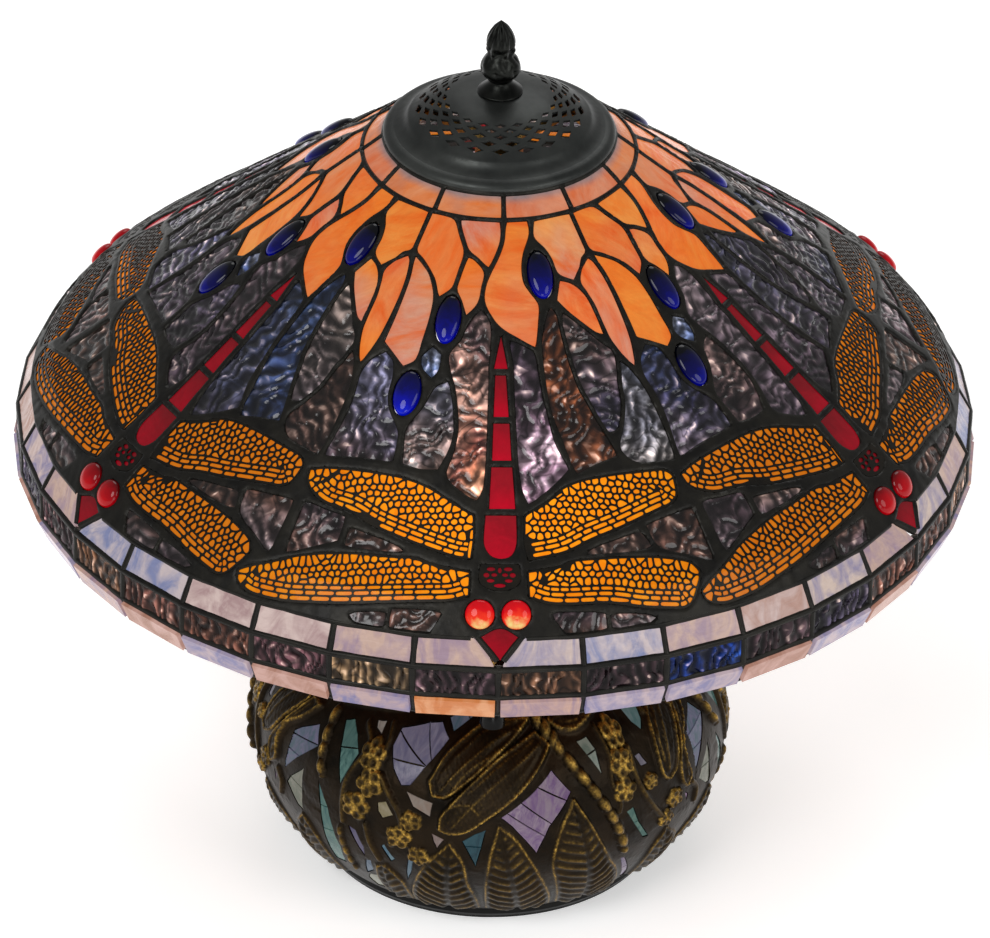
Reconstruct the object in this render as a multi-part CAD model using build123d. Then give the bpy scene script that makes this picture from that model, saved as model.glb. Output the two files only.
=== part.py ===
"""Stained glass table lamp with a conical dragonfly shade and a mosaic base.

Millimetres, +Z up, front towards -Y, origin at the centre of the underside.
Shade positions are polar: phi in degrees from the front (-Y) towards +X, then radius.
"""
from build123d import *
import os
from math import cos, hypot, pi, radians, sin, tan

# ---- driving dimensions: shade ---------------------------------------------------
SECTORS = 6                      # dragonflies round the shade
SECTOR_DEG = 360 / SECTORS
FACET_DEG = 10                   # the border glass is flat, one cell per facet
# Outer line of the shade, from the crown down to the rim: (radius, height).
CROWN, KNEE, BORDER, SHOULDER, LOW_BAND, RIM = (
    (62.5, 446.0), (240.0, 304.0), (252.0, 288.5), (260.0, 274.5), (260.0, 255.5), (254.0, 242.5))
SHADE_LINE = [CROWN, KNEE, BORDER, SHOULDER, LOW_BAND, RIM]
GLASS_T = 3.0
CAME_PROUD = 0.5                 # how far the lead stands above and below the glass
CAME_HALF = 1.7                  # half the width of a lead line
FILIGREE_T = 0.42
JEWEL_PROUD = 3.0
LATTICE_PANEL_DEG = 30
LATTICE_START = -20              # the panels meet on facet corners
RIM_WIRE_H = 2.4
BRICKS = 12
BRICK_SEAM = 1.5
BRICK_R = (63.4, 72.4)
FILIGREE_STEP = (2.6, 5.6)       # pitch of the wing openings: degrees, millimetres
FILIGREE_BAR = 0.28              # share of the pitch left as metal

# ---- driving dimensions: cap and finial ------------------------------------------
CAP_RIM_R = 62.5
CAP_Z = 446.9
CAP_WALL = 1.4
CAP_BEAD_R = 49.5
CAP_TOP_Z = 473.5
PIERCED_RINGS = [43.4, 39.7, 36.2, 32.8, 29.6]
PIERCED_COLUMNS = 20
FINIAL_TOP_Z = 517.0

# ---- driving dimensions: stem, sockets and bulbs ---------------------------------
STUD_R = 4.75
STUD_BORE = 3.0
STUD_TOP_Z = 495.0
STUD_CLEAR = 0.06
WHEEL_Z = (437.0, 440.0)
WHEEL_R = (51.0, 58.5)
TOP_RING_R = (52.0, 59.2)
TOP_RING_H = 2.8
CLUSTER_R = 26.0
CLUSTER_Z = (322.0, 362.0)
SOCKET_AZIMUTHS = {"front": 0, "right": 120, "left": 240}
SOCKET_HUB_Z = 345.0
SOCKET_TILT = 10                 # degrees below level
ARM_END = 90.0
SHELL_R = 17.0
SHELL_SPAN = (98.0, 142.0)
LINER_T = 0.7
SCREW_R = 13.2
SCREW_CLEAR = 0.06
BULB_R = 24.0
BULB_CENTRE = 178.0
CHAIN_RHO = 112.0
CHAIN_TOP_Z = 304.0
FOB_TOP_Z = 166.0
FOB_BOTTOM_Z = 141.0
FOB_R = 7.0
BEAD_R = 1.6
BEAD_PITCH = 4.3

# ---- driving dimensions: base ----------------------------------------------------
FOOT_R = 96.0
FOOT_TOP_Z = 9.0
BELLY_R = 131.0
BELLY_Z = 67.0
BASE_TOP = (50.0, 152.0)
BASE_WALL = 6.0
TILE_T = 1.6
TILE_SEAT = 0.15                 # cement gap round and under each tile
TILE_JOINT = 0.45                # half the gap between neighbouring tiles
SMALLEST_TILE = 9.0              # square millimetres: smaller corners are left to the cement
BASE_REPEAT = 3
FELT_T = 1.5
CORD_R = 3.0
CORD_AZIMUTH = 180


# ---- helpers ---------------------------------------------------------------------
def polar(phi, r, z=0.0):
    """A point at azimuth phi (degrees from the front), radius r and height z."""
    return (r * sin(radians(phi)), -r * cos(radians(phi)), z)


def turn(shape, degrees):
    return shape.rotate(Axis.Z, degrees)


def around(shapes, count):
    """The shapes repeated evenly about the lamp's axis."""
    return [turn(shape, 360 / count * k) for k in range(count) for shape in shapes]


def turned(section):
    """A solid turned about Z from a closed (radius, height) section."""
    outline = Polyline([(r, 0, z) for r, z in section], close=True)
    return revolve(make_face(outline), Axis.Z).solid()


def tube(r_out, r_in, z0, z1):
    return turned([(r_in, z0), (r_out, z0), (r_out, z1), (r_in, z1)])


def rod(radius, z0, z1):
    """A plain round bar on the Z axis."""
    return turned([(0, z0), (radius, z0), (radius, z1), (0, z1)])


def prism(points, z0, z1):
    """A straight prism over a plan outline."""
    outline = Polyline([(x, y, z0) for x, y, *_ in points], close=True)
    return extrude(make_face(outline), z1 - z0, dir=(0, 0, 1)).solid()


def offset_line(line, distance):
    """The (radius, height) line moved to its left by distance, corners mitred."""
    normals = []
    for (r0, z0), (r1, z1) in zip(line, line[1:]):
        length = hypot(r1 - r0, z1 - z0)
        normals.append(((z0 - z1) / length, (r1 - r0) / length))
    normals = [normals[0]] + normals + [normals[-1]]
    moved = []
    for (r, z), (a, b), (c, d) in zip(line, normals, normals[1:]):
        scale = distance / (1 + a * c + b * d)
        moved.append((r + (a + c) * scale, z + (b + d) * scale))
    return moved


def faceted(section, start, stop):
    """A closed (radius, height) section swept about Z in flat facets from start to stop."""
    steps = round((stop - start) / FACET_DEG)
    full = steps * FACET_DEG == 360
    rings = [[polar(start + k * FACET_DEG, r, z) for r, z in section]
             for k in range(steps if full else steps + 1)]
    faces = []
    for k in range(steps):
        near, far = rings[k], rings[(k + 1) % len(rings)]
        for j in range(len(section)):
            i = (j + 1) % len(section)
            faces.append(Face(Wire.make_polygon([near[j], near[i], far[i], far[j]])))
    if not full:
        faces += [Face(Wire.make_polygon(rings[0])), Face(Wire.make_polygon(rings[-1]))]
    return Solid(Shell(faces))


def shade_layer(outer, inner, start, stop, line=SHADE_LINE):
    """The part of the shade wall between two distances outwards from the glass face."""
    section = offset_line(line, outer) + offset_line(line, inner)[::-1]
    return faceted(section, start, stop)


def inside(outline, point):
    """Whether a point lies inside a closed outline."""
    x, y = point
    crossings = 0
    for (x0, y0), (x1, y1) in zip(outline, outline[1:] + outline[:1]):
        if (y0 > y) != (y1 > y) and x < x0 + (y - y0) / (y1 - y0) * (x1 - x0):
            crossings += 1
    return crossings % 2 == 1


# ---- shade glass: outlines as (phi, radius) --------------------------------------
PETALS = [
    [(3, 75), (10.7, 75), (10.5, 80), (7.5, 88), (6.5, 94), (6.8, 101), (8.5, 106), (10.2, 111), (9.3, 120),
     (8.2, 129.5), (5, 125.5), (1, 121), (-2, 115.5), (-3.8, 109), (-3.8, 103.5), (-2.5, 98), (0, 90),
     (2, 82)],
    [(14.3, 75.5), (29.3, 75), (29.3, 91.5), (27, 94), (25.5, 98), (22.3, 102.5), (18.3, 98.5), (17.5, 92),
     (16.2, 87), (13.2, 81.5)],
    [(18.3, 103), (21, 105), (24, 110.5), (25, 120), (25.2, 128.5), (24, 127), (20, 119.5), (16.4, 110.5)],
    [(29.3, 96), (30.2, 98), (31.2, 105), (31.5, 115), (31.2, 127), (30.7, 135), (29.5, 144.5), (28, 138),
     (26.5, 128), (26, 116), (24.6, 105), (26, 99.5)],
    [(-28, 95), (-25, 97.5), (-22, 101), (-20, 106), (-18.9, 112), (-18.6, 120), (-18.8, 130), (-19, 138),
     (-21, 141.5), (-24, 137), (-26.7, 133.5), (-26.4, 120), (-26.6, 105)],
    [(-28.6, 75), (-22, 75), (-19, 76), (-16, 81), (-13.1, 88), (-13.5, 96), (-14.3, 104.5), (-17, 109),
     (-19.2, 103), (-22, 98.5), (-25, 95), (-28.4, 91.5)],
    [(-15.5, 75.5), (-0.5, 75), (-0.3, 83), (-2, 89), (-3.8, 94), (-7, 90.5), (-11, 86.5), (-14, 80)],
    [(-10.3, 91.5), (-8.5, 92.5), (-5.6, 97), (-5.8, 103), (-6.5, 110), (-8.8, 116), (-10.5, 110),
     (-12.2, 105)]]
SMALL_LEAF = [(-15.5, 132.5), (-13.6, 135), (-13.6, 141), (-14.4, 144.5), (-16.5, 141), (-17.3, 137)]
CABOCHONS = [(12.4, 98.7, 3.9, 10.6), (-13.2, 119, 3.2, 10.8), (-18.5, 153.5, 2.7, 10.0)]
RAYS = [
    [(2.9, 127.5), (7.5, 132), (8, 150), (8.6, 160), (9.3, 172), (11, 184), (8, 190.5), (4.6, 197),
     (3.9, 190),
     (3.5, 178), (3.5, 140)],
    [(13.7, 114.5), (14.8, 120), (14.7, 135), (15.6, 150), (16.9, 157), (18.2, 168), (19.6, 180.5),
     (16, 182.5),
     (13, 185.5), (12.5, 182), (11.7, 172), (10.4, 158), (10.2, 145), (10.5, 130), (11.7, 122)],
    [(16.7, 117), (20, 123), (23, 131.5), (25.4, 137.5), (25.2, 145), (24.1, 150), (23.3, 160), (21.3, 169),
     (20.1, 170), (18.9, 163), (17.7, 152), (17, 142), (16.4, 130), (16, 122)],
    [(26.8, 142.5), (28, 148), (29, 155), (29.5, 165), (29.5, 180), (29.2, 187.5), (27, 186.5), (24, 185.5),
     (22.4, 183), (21.5, 178), (23.2, 170), (24.7, 162), (25.8, 152)],
    [(-25.8, 139), (-24, 141.5), (-23, 148), (-22.2, 157), (-20.2, 165.5), (-18.6, 172), (-18.2, 183),
     (-22, 183.5),
     (-26, 185), (-29, 187), (-28.2, 170), (-28.2, 160), (-28.8, 150), (-28, 144)],
    [(-11, 147), (-10, 153), (-9.3, 160), (-8.8, 168), (-9.2, 175), (-10.4, 183.5), (-13, 184),
     (-15.8, 183),
     (-16, 178), (-16.5, 170), (-15.8, 165), (-14, 157), (-12.8, 150)],
    [(-5, 114.5), (-3.2, 117.5), (-2.8, 123), (-2.8, 135), (-2.6, 165), (-2.6, 180), (-2.9, 190),
     (-3.6, 195.5),
     (-5, 193.5), (-7.6, 188.5), (-8.2, 185), (-7.5, 178), (-7, 168), (-7.5, 158), (-8.6, 148),
     (-10.2, 140),
     (-10.8, 134), (-8.8, 128), (-7.5, 121)]]
WINGS = [
    [(-4, 203.5), (-6, 200.5), (-9, 196), (-12, 192.5), (-16, 190.5), (-20, 190.5), (-24, 191.5),
     (-28, 193.5),
     (-30.4, 196), (-30, 200), (-28.5, 204), (-26, 207), (-22, 208), (-18, 212), (-14, 215), (-10, 218),
     (-6, 221), (-4, 221.5), (-3.8, 213)],
    [(4, 203.5), (5.5, 201), (8, 197), (10, 193), (13, 190.5), (17, 189.8), (20, 190), (24, 191),
     (26.5, 192),
     (27.7, 194.5), (27.7, 198), (27.2, 203), (26, 206), (24, 207), (21, 209), (17, 212), (13, 215),
     (9, 219.5),
     (4.2, 221.8), (3.8, 215)],
    [(-4, 228), (-6, 227.3), (-9, 226), (-11, 224.2), (-15, 225), (-20, 226.5), (-24, 229.5), (-27, 233),
     (-29.5, 237.5), (-32, 241.5), (-34, 244.5), (-33.5, 247.5), (-31.5, 249.7), (-27, 249), (-23, 247),
     (-19, 245), (-14, 242.5), (-9, 240.7), (-6, 239.8), (-4, 237.5)],
    [(4, 228), (8, 226.5), (10, 224.5), (14, 224.7), (20, 227), (23, 229.5), (25.5, 233), (26.3, 237),
     (25.8, 241),
     (25, 244.5), (23.5, 247.7), (21.5, 247), (18, 245), (14, 242.2), (9, 241.3), (6, 240.5), (4, 238)]]
BODY = [
    [(-1.2, 139), (0.3, 125), (1.7, 139)],
    [(-0.9, 142), (1.3, 142), (1.7, 160), (-1.1, 160)],
    [(-1.1, 163), (1.8, 163), (2, 179), (-1.2, 179)],
    [(-1.3, 182), (2.1, 182), (2.4, 200), (-1.5, 200)],
    [(-2, 203), (2.5, 203), (2.4, 215), (1.7, 220), (0.3, 221.5), (-1.2, 220), (-2.1, 215)],
    [(-2.4, 252), (0.2, 248.8), (2.6, 252), (0.2, 256.6)]]
HEAD = [(-2.4, 224.5), (2.6, 224.5), (2.8, 230), (2.2, 233.5), (0.2, 235.5), (-2, 233.5), (-2.6, 230)]
EYES = [(-2.35, 244.3), (2.15, 244.3)]
EYE_R = 7.7
GROUND = [
    [(12.3, 221), (17, 218), (20, 216.5), (20.8, 221.5), (17, 221.8)],
    [(21.8, 214), (28.6, 211.5), (28.6, 233), (26.6, 229), (22.7, 222.5)],
    [(-28.8, 210.5), (-22.9, 212), (-22.9, 221), (-26, 226), (-28.6, 231)],
    [(-21, 216.5), (-13.5, 221), (-17, 221.8), (-21, 222)],
    [(7, 245), (13, 246.3), (13, 250), (8.3, 250)],
    [(14, 247), (17, 248.2), (19, 249.6), (14, 250)],
    [(-13, 245.5), (-7.5, 245), (-8.5, 250), (-13, 250)],
    [(-18, 249), (-14.2, 247), (-14.2, 250), (-17, 250)]]
CONE_Z = (272.5, 462.0)          # heights that every plan prism on the cone spans


def cone_prism(outline):
    return prism([polar(phi, r) for phi, r in outline], *CONE_Z)


def brick_outlines():
    """The ring of bricks at the crown, each a curved bar between two lead lines."""
    r_in, r_out = BRICK_R
    inset = 1.4
    outlines = []
    for k in range(BRICKS // SECTORS):
        start = BRICK_SEAM + 360 / BRICKS * (k - 1)
        angles = [start + inset + (360 / BRICKS - 2 * inset) * i / 3 for i in range(4)]
        outlines.append([(a, r_in) for a in angles] + [(a, r_out) for a in reversed(angles)])
    return outlines


def ellipse_outline(phi, r, half_phi, half_r, sides=20):
    """An oval jewel as a many-sided outline in (phi, radius)."""
    steps = [2 * pi * k / sides for k in range(sides)]
    return [(phi + half_phi * sin(a), r + half_r * cos(a)) for a in steps]


def eye_outline(phi, r):
    return ellipse_outline(phi, r, EYE_R / radians(r), EYE_R * 0.78)


def wing_openings(outline):
    """Lozenge openings of a wing's filigree, on a regular polar grid."""
    step_phi, step_r = FILIGREE_STEP
    half_phi = step_phi * (1 - FILIGREE_BAR) / 2
    half_r = step_r * (1 - FILIGREE_BAR) / 2
    found = []
    for row in range(int(188 / step_r), int(252 / step_r)):
        for column in range(-14, 13):
            phi, r = (column + row % 2 / 2) * step_phi, row * step_r
            lozenge = [(phi - half_phi, r), (phi, r - half_r), (phi + half_phi, r), (phi, r + half_r)]
            if all(inside(outline, (phi + (p - phi) * 1.5, r + (q - r) * 1.5)) for p, q in lozenge):
                found.append(lozenge)
    return found


def border_cell(band, facet, lift, depth, cut_left=0.0, cut_right=0.0):
    """One flat border cell: the facet between two lead lines, trimmed by the lead's width."""
    (r0, z0), (r1, z1) = SHADE_LINE[band], SHADE_LINE[band + 1]
    length = hypot(r1 - r0, z1 - z0)
    out = ((z0 - z1) / length, (r1 - r0) / length)
    middle, half = (facet + 0.5) * FACET_DEG, radians(FACET_DEG / 2)

    def corner(share, side, cut):
        r, z = r0 + (r1 - r0) * share, z0 + (z1 - z0) * share
        across = side * (r * sin(half) - CAME_HALF - cut)
        radius = r * cos(half) + out[0] * lift
        x, y, _ = polar(middle, radius)
        return (x + across * cos(radians(middle)), y + across * sin(radians(middle)), z + out[1] * lift)

    trim = CAME_HALF / length
    top = trim + (KNEE_GAP / length if band == 2 else 0)
    points = [corner(top, -1, cut_left), corner(top, 1, cut_right), corner(1 - trim, 1, 0),
              corner(1 - trim, -1, 0)]
    x, y, _ = polar(middle, out[0])
    return extrude(Face(Wire.make_polygon(points)), depth, dir=(-x, -y, -out[1])).solid()


KNEE_GAP = 1.4                   # more room at the top of the upper border, where the wall bends
CHIN_CUT = 15.0                  # the chin of each dragonfly bites this far into its border cells


def border_band(band, lift=0.0, depth=GLASS_T):
    """The cells of one border band over one sector, from facet -3 to facet 2."""
    half = round(SECTOR_DEG / FACET_DEG / 2)
    cells = []
    for facet in range(-half, half):
        left = CHIN_CUT if band == 2 and facet == 0 else 0.0
        right = CHIN_CUT if band == 2 and facet == -1 else 0.0
        cells.append(border_cell(band, facet, lift, depth, left, right))
    return cells


def glass_set(outlines, wall):
    """One sector's pieces cut from the shade wall, repeated round the shade."""
    pieces = [(wall & cone_prism(outline)).solid() for outline in outlines]
    return around(pieces, SECTORS)


def shade_glass():
    """Every kind of glass in the shade as {node: solids}."""
    wall = shade_layer(0, -GLASS_T, -40, 40)
    jewel_wall = shade_layer(JEWEL_PROUD, -GLASS_T, -40, 40)
    return {
        "crown_bricks": glass_set(brick_outlines(), wall),
        "crown_petals": glass_set(PETALS, wall),
        "petal_leaves": glass_set([SMALL_LEAF], wall),
        "ripple_rays": glass_set(RAYS, wall),
        "wing_glass": glass_set(WINGS, wall),
        "dragonfly_bodies": glass_set(BODY, wall),
        "dragonfly_heads": glass_set([HEAD], wall),
        "ground_glass": glass_set(GROUND, wall),
        "cabochons": glass_set([ellipse_outline(*c) for c in CABOCHONS], jewel_wall),
        "eye_jewels": glass_set([eye_outline(*e) for e in EYES], jewel_wall),
        "upper_border_glass": around(border_band(2), SECTORS),
        "ripple_border_glass": around(border_band(3), SECTORS),
        "rim_border_glass": around(border_band(4), SECTORS)}


def wing_filigree():
    """Thin pierced brass over each wing."""
    layer = shade_layer(FILIGREE_T, 0.02, -40, 40)
    nets = []
    for outline in WINGS:
        sheet = (layer & cone_prism(outline)).solid()
        nets.append(sheet.cut(*[cone_prism(hole) for hole in wing_openings(outline)]).solid())
    return around(nets, SECTORS)


def head_filigree():
    """Thin brass over each head, with two slits."""
    layer = shade_layer(FILIGREE_T, 0.02, -40, 40)
    slits = [[(-1.6, 227), (-0.5, 226), (-0.5, 232), (-1.6, 231)],
             [(0.8, 226), (1.9, 227), (1.9, 231), (0.8, 232)]]
    sheet = (layer & cone_prism(HEAD)).solid()
    return around([sheet.cut(*[cone_prism(slit) for slit in slits]).solid()], SECTORS)


def lead_lattice():
    """The soldered lead between the glass, in panels that meet on facet corners."""
    outlines = (brick_outlines() + PETALS + [SMALL_LEAF] + RAYS + WINGS + BODY + [HEAD] + GROUND
                + [ellipse_outline(*c) for c in CABOCHONS] + [eye_outline(*e) for e in EYES])
    depth = GLASS_T + 4 * CAME_PROUD
    cells = [cell for band in (2, 3, 4) for cell in border_band(band, 2 * CAME_PROUD, depth)]
    panels = []
    for start in (LATTICE_START, LATTICE_START + LATTICE_PANEL_DEG):
        stop = start + LATTICE_PANEL_DEG
        panel = shade_layer(CAME_PROUD, -GLASS_T - CAME_PROUD, start, stop)
        cutters = []
        for shift in (-SECTOR_DEG, 0, SECTOR_DEG):
            for outline in outlines:
                moved = [(phi + shift, r) for phi, r in outline]
                if min(p for p, _ in moved) < stop and max(p for p, _ in moved) > start:
                    cutters.append(cone_prism(moved))
            cutters += [turn(cell, shift) for cell in cells]
        box = panel.bounding_box()
        near = [c for c in cutters if overlaps(box, c.bounding_box())]
        panels += panel.cut(*near).solids()
    return around(panels, SECTORS)


def overlaps(a, b):
    return (a.min.X < b.max.X and b.min.X < a.max.X and a.min.Y < b.max.Y and b.min.Y < a.max.Y)


def rim_wire():
    """The brass wire that binds the shade's lower edge."""
    r, z = RIM
    top = z - CAME_PROUD - 0.1
    section = [(r + 1.4, top), (r + 1.4, top - RIM_WIRE_H), (r - 2.6, top - RIM_WIRE_H), (r - 2.6, top)]
    return [faceted(section, -180, 180)]


def shade_top_ring():
    """The brass ring soldered inside the crown, which rests on the wheel."""
    r_in, r_out = TOP_RING_R
    return [tube(r_out, r_in, WHEEL_Z[1], WHEEL_Z[1] + TOP_RING_H)]


# ---- cap and finial --------------------------------------------------------------
def cap_line():
    """The heat cap's outer line from rim to crown: (radius, height)."""
    return [(CAP_RIM_R, CAP_Z), (CAP_RIM_R + 0.3, CAP_Z + 2), (CAP_RIM_R - 1.5, CAP_Z + 4.2),
            (56.0, CAP_Z + 5.0),
            (52.0, CAP_Z + 7.0), (CAP_BEAD_R, CAP_Z + 10.5), (44.0, 461.4), (38.0, 465.2), (31.0, 468.6),
            (25.0, 470.6), (16.0, 472.6), (11.0, CAP_TOP_Z)]


def heat_cap():
    """Spun vented cap with staggered rings of lozenge holes."""
    line = cap_line()
    inner = offset_line(line, CAP_WALL)
    inner[0] = (CAP_RIM_R - CAP_WALL, CAP_Z)
    bore = STUD_R + STUD_CLEAR
    section = line + [(bore, CAP_TOP_Z), (bore, CAP_TOP_Z - CAP_WALL)] + inner[::-1]
    cap = turned(section)
    holes = []
    for row, r in enumerate(PIERCED_RINGS):
        half_w = 0.36 * 2 * pi * r / PIERCED_COLUMNS
        half_l = 1.9 - 0.12 * row
        for column in range(PIERCED_COLUMNS):
            phi = 360 / PIERCED_COLUMNS * (column + row % 2 / 2)
            spread = half_w / radians(1) / r
            lozenge = [(phi - spread, r), (phi, r - half_l), (phi + spread, r), (phi, r + half_l)]
            holes.append(prism([polar(p, q) for p, q in lozenge], CAP_Z + 8, CAP_TOP_Z + 1))
    return [cap.cut(*holes).solid()]


def finial():
    """Turned bronze finial: flared foot, neck, bulb, bead ring and ridged bud."""
    z = CAP_TOP_Z
    bore = STUD_R + STUD_CLEAR
    outer = Spline((12.2, 0, z), (9.5, 0, z + 3.4), (6.6, 0, z + 7.5), (10.2, 0, z + 13), (11.0, 0, z + 17),
                   (8.0, 0, z + 23.2), (6.9, 0, z + 25.2), (8.0, 0, z + 28), (7.4, 0, z + 33),
                   (4.0, 0, z + 39),
                   (0.0, 0, FINIAL_TOP_Z), tangents=[(-0.3, 0, 1), (-1, 0, 0.15)])
    inner = Polyline((0, 0, FINIAL_TOP_Z), (0, 0, z + 23), (bore, 0, z + 23), (bore, 0, z), (12.2, 0, z))
    return [revolve(make_face([outer, inner]), Axis.Z).solid()]


# ---- wheel, stud and cluster -----------------------------------------------------
def shade_wheel():
    """Spoked brass wheel that carries the shade on the stud."""
    z0, z1 = WHEEL_Z
    r_in, r_out = WHEEL_R
    hub = tube(13.0, STUD_R + STUD_CLEAR, z0 - 1.5, z1 + 1.5)
    rim = tube(r_out, r_in, z0, z1)
    spokes = [turn(Box(r_in - 11, 6.0, z1 - z0).moved(Location(((r_in + 12.5) / 2, 0, (z0 + z1) / 2))),
                   90 * k + 45)
              for k in range(4)]
    return [hub.fuse(rim, *spokes).solid()]


def hex_nut(across_flats, bore, z0, z1):
    body = extrude(Plane.XY.offset(z0) * RegularPolygon(across_flats / 2, 6, major_radius=False), z1 - z0)
    return (body - Plane.XY.offset(z0) * extrude(Circle(bore), z1 - z0)).solid()


def stud():
    """Threaded tube from the bottom nut to the finial."""
    return [tube(STUD_R, STUD_BORE, 10.0, STUD_TOP_Z)]


def stud_nuts():
    """Lock nuts under the ballast, under the cluster and on both sides of the wheel."""
    bore = STUD_R + STUD_CLEAR
    spans = [(10.5, 14.5), (CLUSTER_Z[1] + 0.1, CLUSTER_Z[1] + 4.1), (WHEEL_Z[0] - 5.6, WHEEL_Z[0] - 1.6),
             (WHEEL_Z[1] + 1.6, WHEEL_Z[1] + 5.6)]
    return [hex_nut(15.0, bore, z0, z1) for z0, z1 in spans]


def stem_sleeves():
    """Brass sleeves over the stud, below and above the cluster."""
    bore = STUD_R + 0.3
    low = turned([(bore, 176.2), (13.0, 176.2), (13.0, 180), (9.0, 186), (8.0, 200),
                  (8.0, CLUSTER_Z[0] - 12),
                  (12.0, CLUSTER_Z[0] - 5), (14.0, CLUSTER_Z[0] - 0.1), (bore, CLUSTER_Z[0] - 0.1)])
    high = tube(7.0, bore, CLUSTER_Z[1] + 4.3, WHEEL_Z[0] - 5.8)
    return [low, high]


def socket_plane(azimuth, along=0.0):
    """A plane on a socket's axis: Z points outwards and down, X points down and in."""
    tilt = radians(SOCKET_TILT)
    x, y, _ = polar(azimuth, 1)
    outward = Vector(x * cos(tilt), y * cos(tilt), -sin(tilt))
    down = Vector(-x * sin(tilt), -y * sin(tilt), -cos(tilt))
    return Plane(origin=Vector(0, 0, SOCKET_HUB_Z) + outward * along, x_dir=down, z_dir=outward)


def on_sockets(shape):
    """A shape built along Z placed on every socket axis."""
    return [shape.moved(socket_plane(azimuth).location) for azimuth in SOCKET_AZIMUTHS.values()]


def cluster_body():
    """Hollow turned brass body that the socket arms screw into."""
    z0, z1 = CLUSTER_Z
    bore = STUD_R + STUD_CLEAR
    r = CLUSTER_R
    outer = [(bore, z0), (r - 9, z0), (r - 2.5, z0 + 4), (r, z0 + 12), (r, z1 - 12), (r - 2.5, z1 - 4),
             (r - 9, z1), (bore, z1)]
    hollow = [(bore, z1 - 2), (r - 9.5, z1 - 2), (r - 4.5, z1 - 5.5), (r - 2.2, z1 - 12.5),
              (r - 2.2, z0 + 12.5),
              (r - 4.5, z0 + 5.5), (r - 9.5, z0 + 2), (bore, z0 + 2)]
    body = turned(outer + hollow)
    holes = on_sockets(rod(STUD_R + STUD_CLEAR, 14, 40))
    return [body.cut(*holes).solid()]


def cluster_arms():
    """Threaded arms from the cluster to the sockets."""
    return on_sockets(tube(STUD_R, STUD_BORE, 21.5, ARM_END + 1.5))


def arm_nuts():
    """A lock nut on each arm, outside the cluster."""
    nut = hex_nut(14.0, STUD_R + STUD_CLEAR, CLUSTER_R + 2.2, CLUSTER_R + 5.6)
    return on_sockets(nut)


def socket_caps():
    """Brass socket caps, each screwed on an arm."""
    bore = STUD_R + STUD_CLEAR
    cap = turned([(bore, ARM_END - 6), (8.0, ARM_END - 6), (8.0, ARM_END - 1), (15.0, ARM_END + 2),
                  (SHELL_R, ARM_END + 6), (SHELL_R, SHELL_SPAN[0] - 0.1),
                  (SHELL_R - 1, SHELL_SPAN[0] - 0.1),
                  (SHELL_R - 1, ARM_END + 6.4), (14.4, ARM_END + 3.1), (bore, ARM_END)])
    return on_sockets(cap)


def socket_shells():
    """Brass shells, each with a window for the chain outlet."""
    s0, s1 = SHELL_SPAN
    shell = turned([(SHELL_R, s0), (SHELL_R, s1 - 3), (SHELL_R + 1.2, s1), (SHELL_R + 0.4, s1),
                    (SHELL_R - 0.8, s1 - 3), (SHELL_R - 0.8, s0)])
    return on_sockets(shell)


def socket_liners():
    """Insulating paper sleeve inside each shell."""
    s0, s1 = SHELL_SPAN
    outer = SHELL_R - 0.9
    return on_sockets(tube(outer, outer - LINER_T, s0 + 0.4, s1 - 2.0))


def socket_interiors():
    """Moulded switch body of each socket, with the screw bore for the bulb."""
    s0, s1 = SHELL_SPAN
    bore = SCREW_R + SCREW_CLEAR
    body = turned([(0, s0 + 0.2), (15.2, s0 + 0.2), (15.2, s1 - 4), (bore, s1 - 4), (bore, s0 + 16),
                   (0, s0 + 16)])
    return on_sockets(body)


def lead_wires():
    """Insulated leads through the arms."""
    return on_sockets(rod(1.6, 21.5, SHELL_SPAN[0]))


def chain_outlets():
    """Bell-mouthed brass outlet under each socket, which guides the pull chain."""
    z1 = SOCKET_HUB_Z - tan(radians(SOCKET_TILT)) * CHAIN_RHO - (SHELL_R + 0.9) / cos(radians(SOCKET_TILT))
    z0 = z1 - 9.0
    outlet = turned([(BEAD_R + 0.5, z0 + 1.5), (4.4, z0), (4.6, z0 + 0.8), (3.6, z0 + 3.5), (3.6, z1),
                     (BEAD_R + 0.5, z1)])
    return [outlet.moved(Location(polar(azimuth, CHAIN_RHO))) for azimuth in SOCKET_AZIMUTHS.values()]


def bulb_glass(azimuth):
    """Hollow glass envelope of a bulb."""
    tip = BULB_CENTRE + BULB_R
    neck = SHELL_SPAN[1] + 1.2
    outer = Spline((12.4, 0, neck), (14.0, 0, neck + 6), (21.0, 0, BULB_CENTRE - 13),
                   (BULB_R, 0, BULB_CENTRE),
                   (17.0, 0, BULB_CENTRE + 17), (0, 0, tip), tangents=[(0, 0, 1), (-1, 0, 0)])
    inner = Spline((11.4, 0, neck), (13.0, 0, neck + 6), (20.0, 0, BULB_CENTRE - 13),
                   (BULB_R - 1, 0, BULB_CENTRE),
                   (16.2, 0, BULB_CENTRE + 16.2), (0, 0, tip - 1), tangents=[(0, 0, 1), (-1, 0, 0)])
    section = make_face([outer, inner, Line((12.4, 0, neck), (11.4, 0, neck)),
                         Line((0, 0, tip), (0, 0, tip - 1))])
    return [revolve(section, Axis.Z).solid().moved(socket_plane(azimuth).location)]


def bulb_base(azimuth):
    """Screw base of a bulb, with its contact button."""
    s1 = SHELL_SPAN[1] + 1.1
    s0 = SHELL_SPAN[0] + 17.5
    base = turned([(0, s0), (4.5, s0), (4.5, s0 + 1.5), (SCREW_R - 1.5, s0 + 4.5), (SCREW_R, s0 + 6),
                   (SCREW_R, s1 - 6), (SCREW_R - 0.6, s1), (0, s1)])
    return [base.moved(socket_plane(azimuth).location)]


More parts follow.
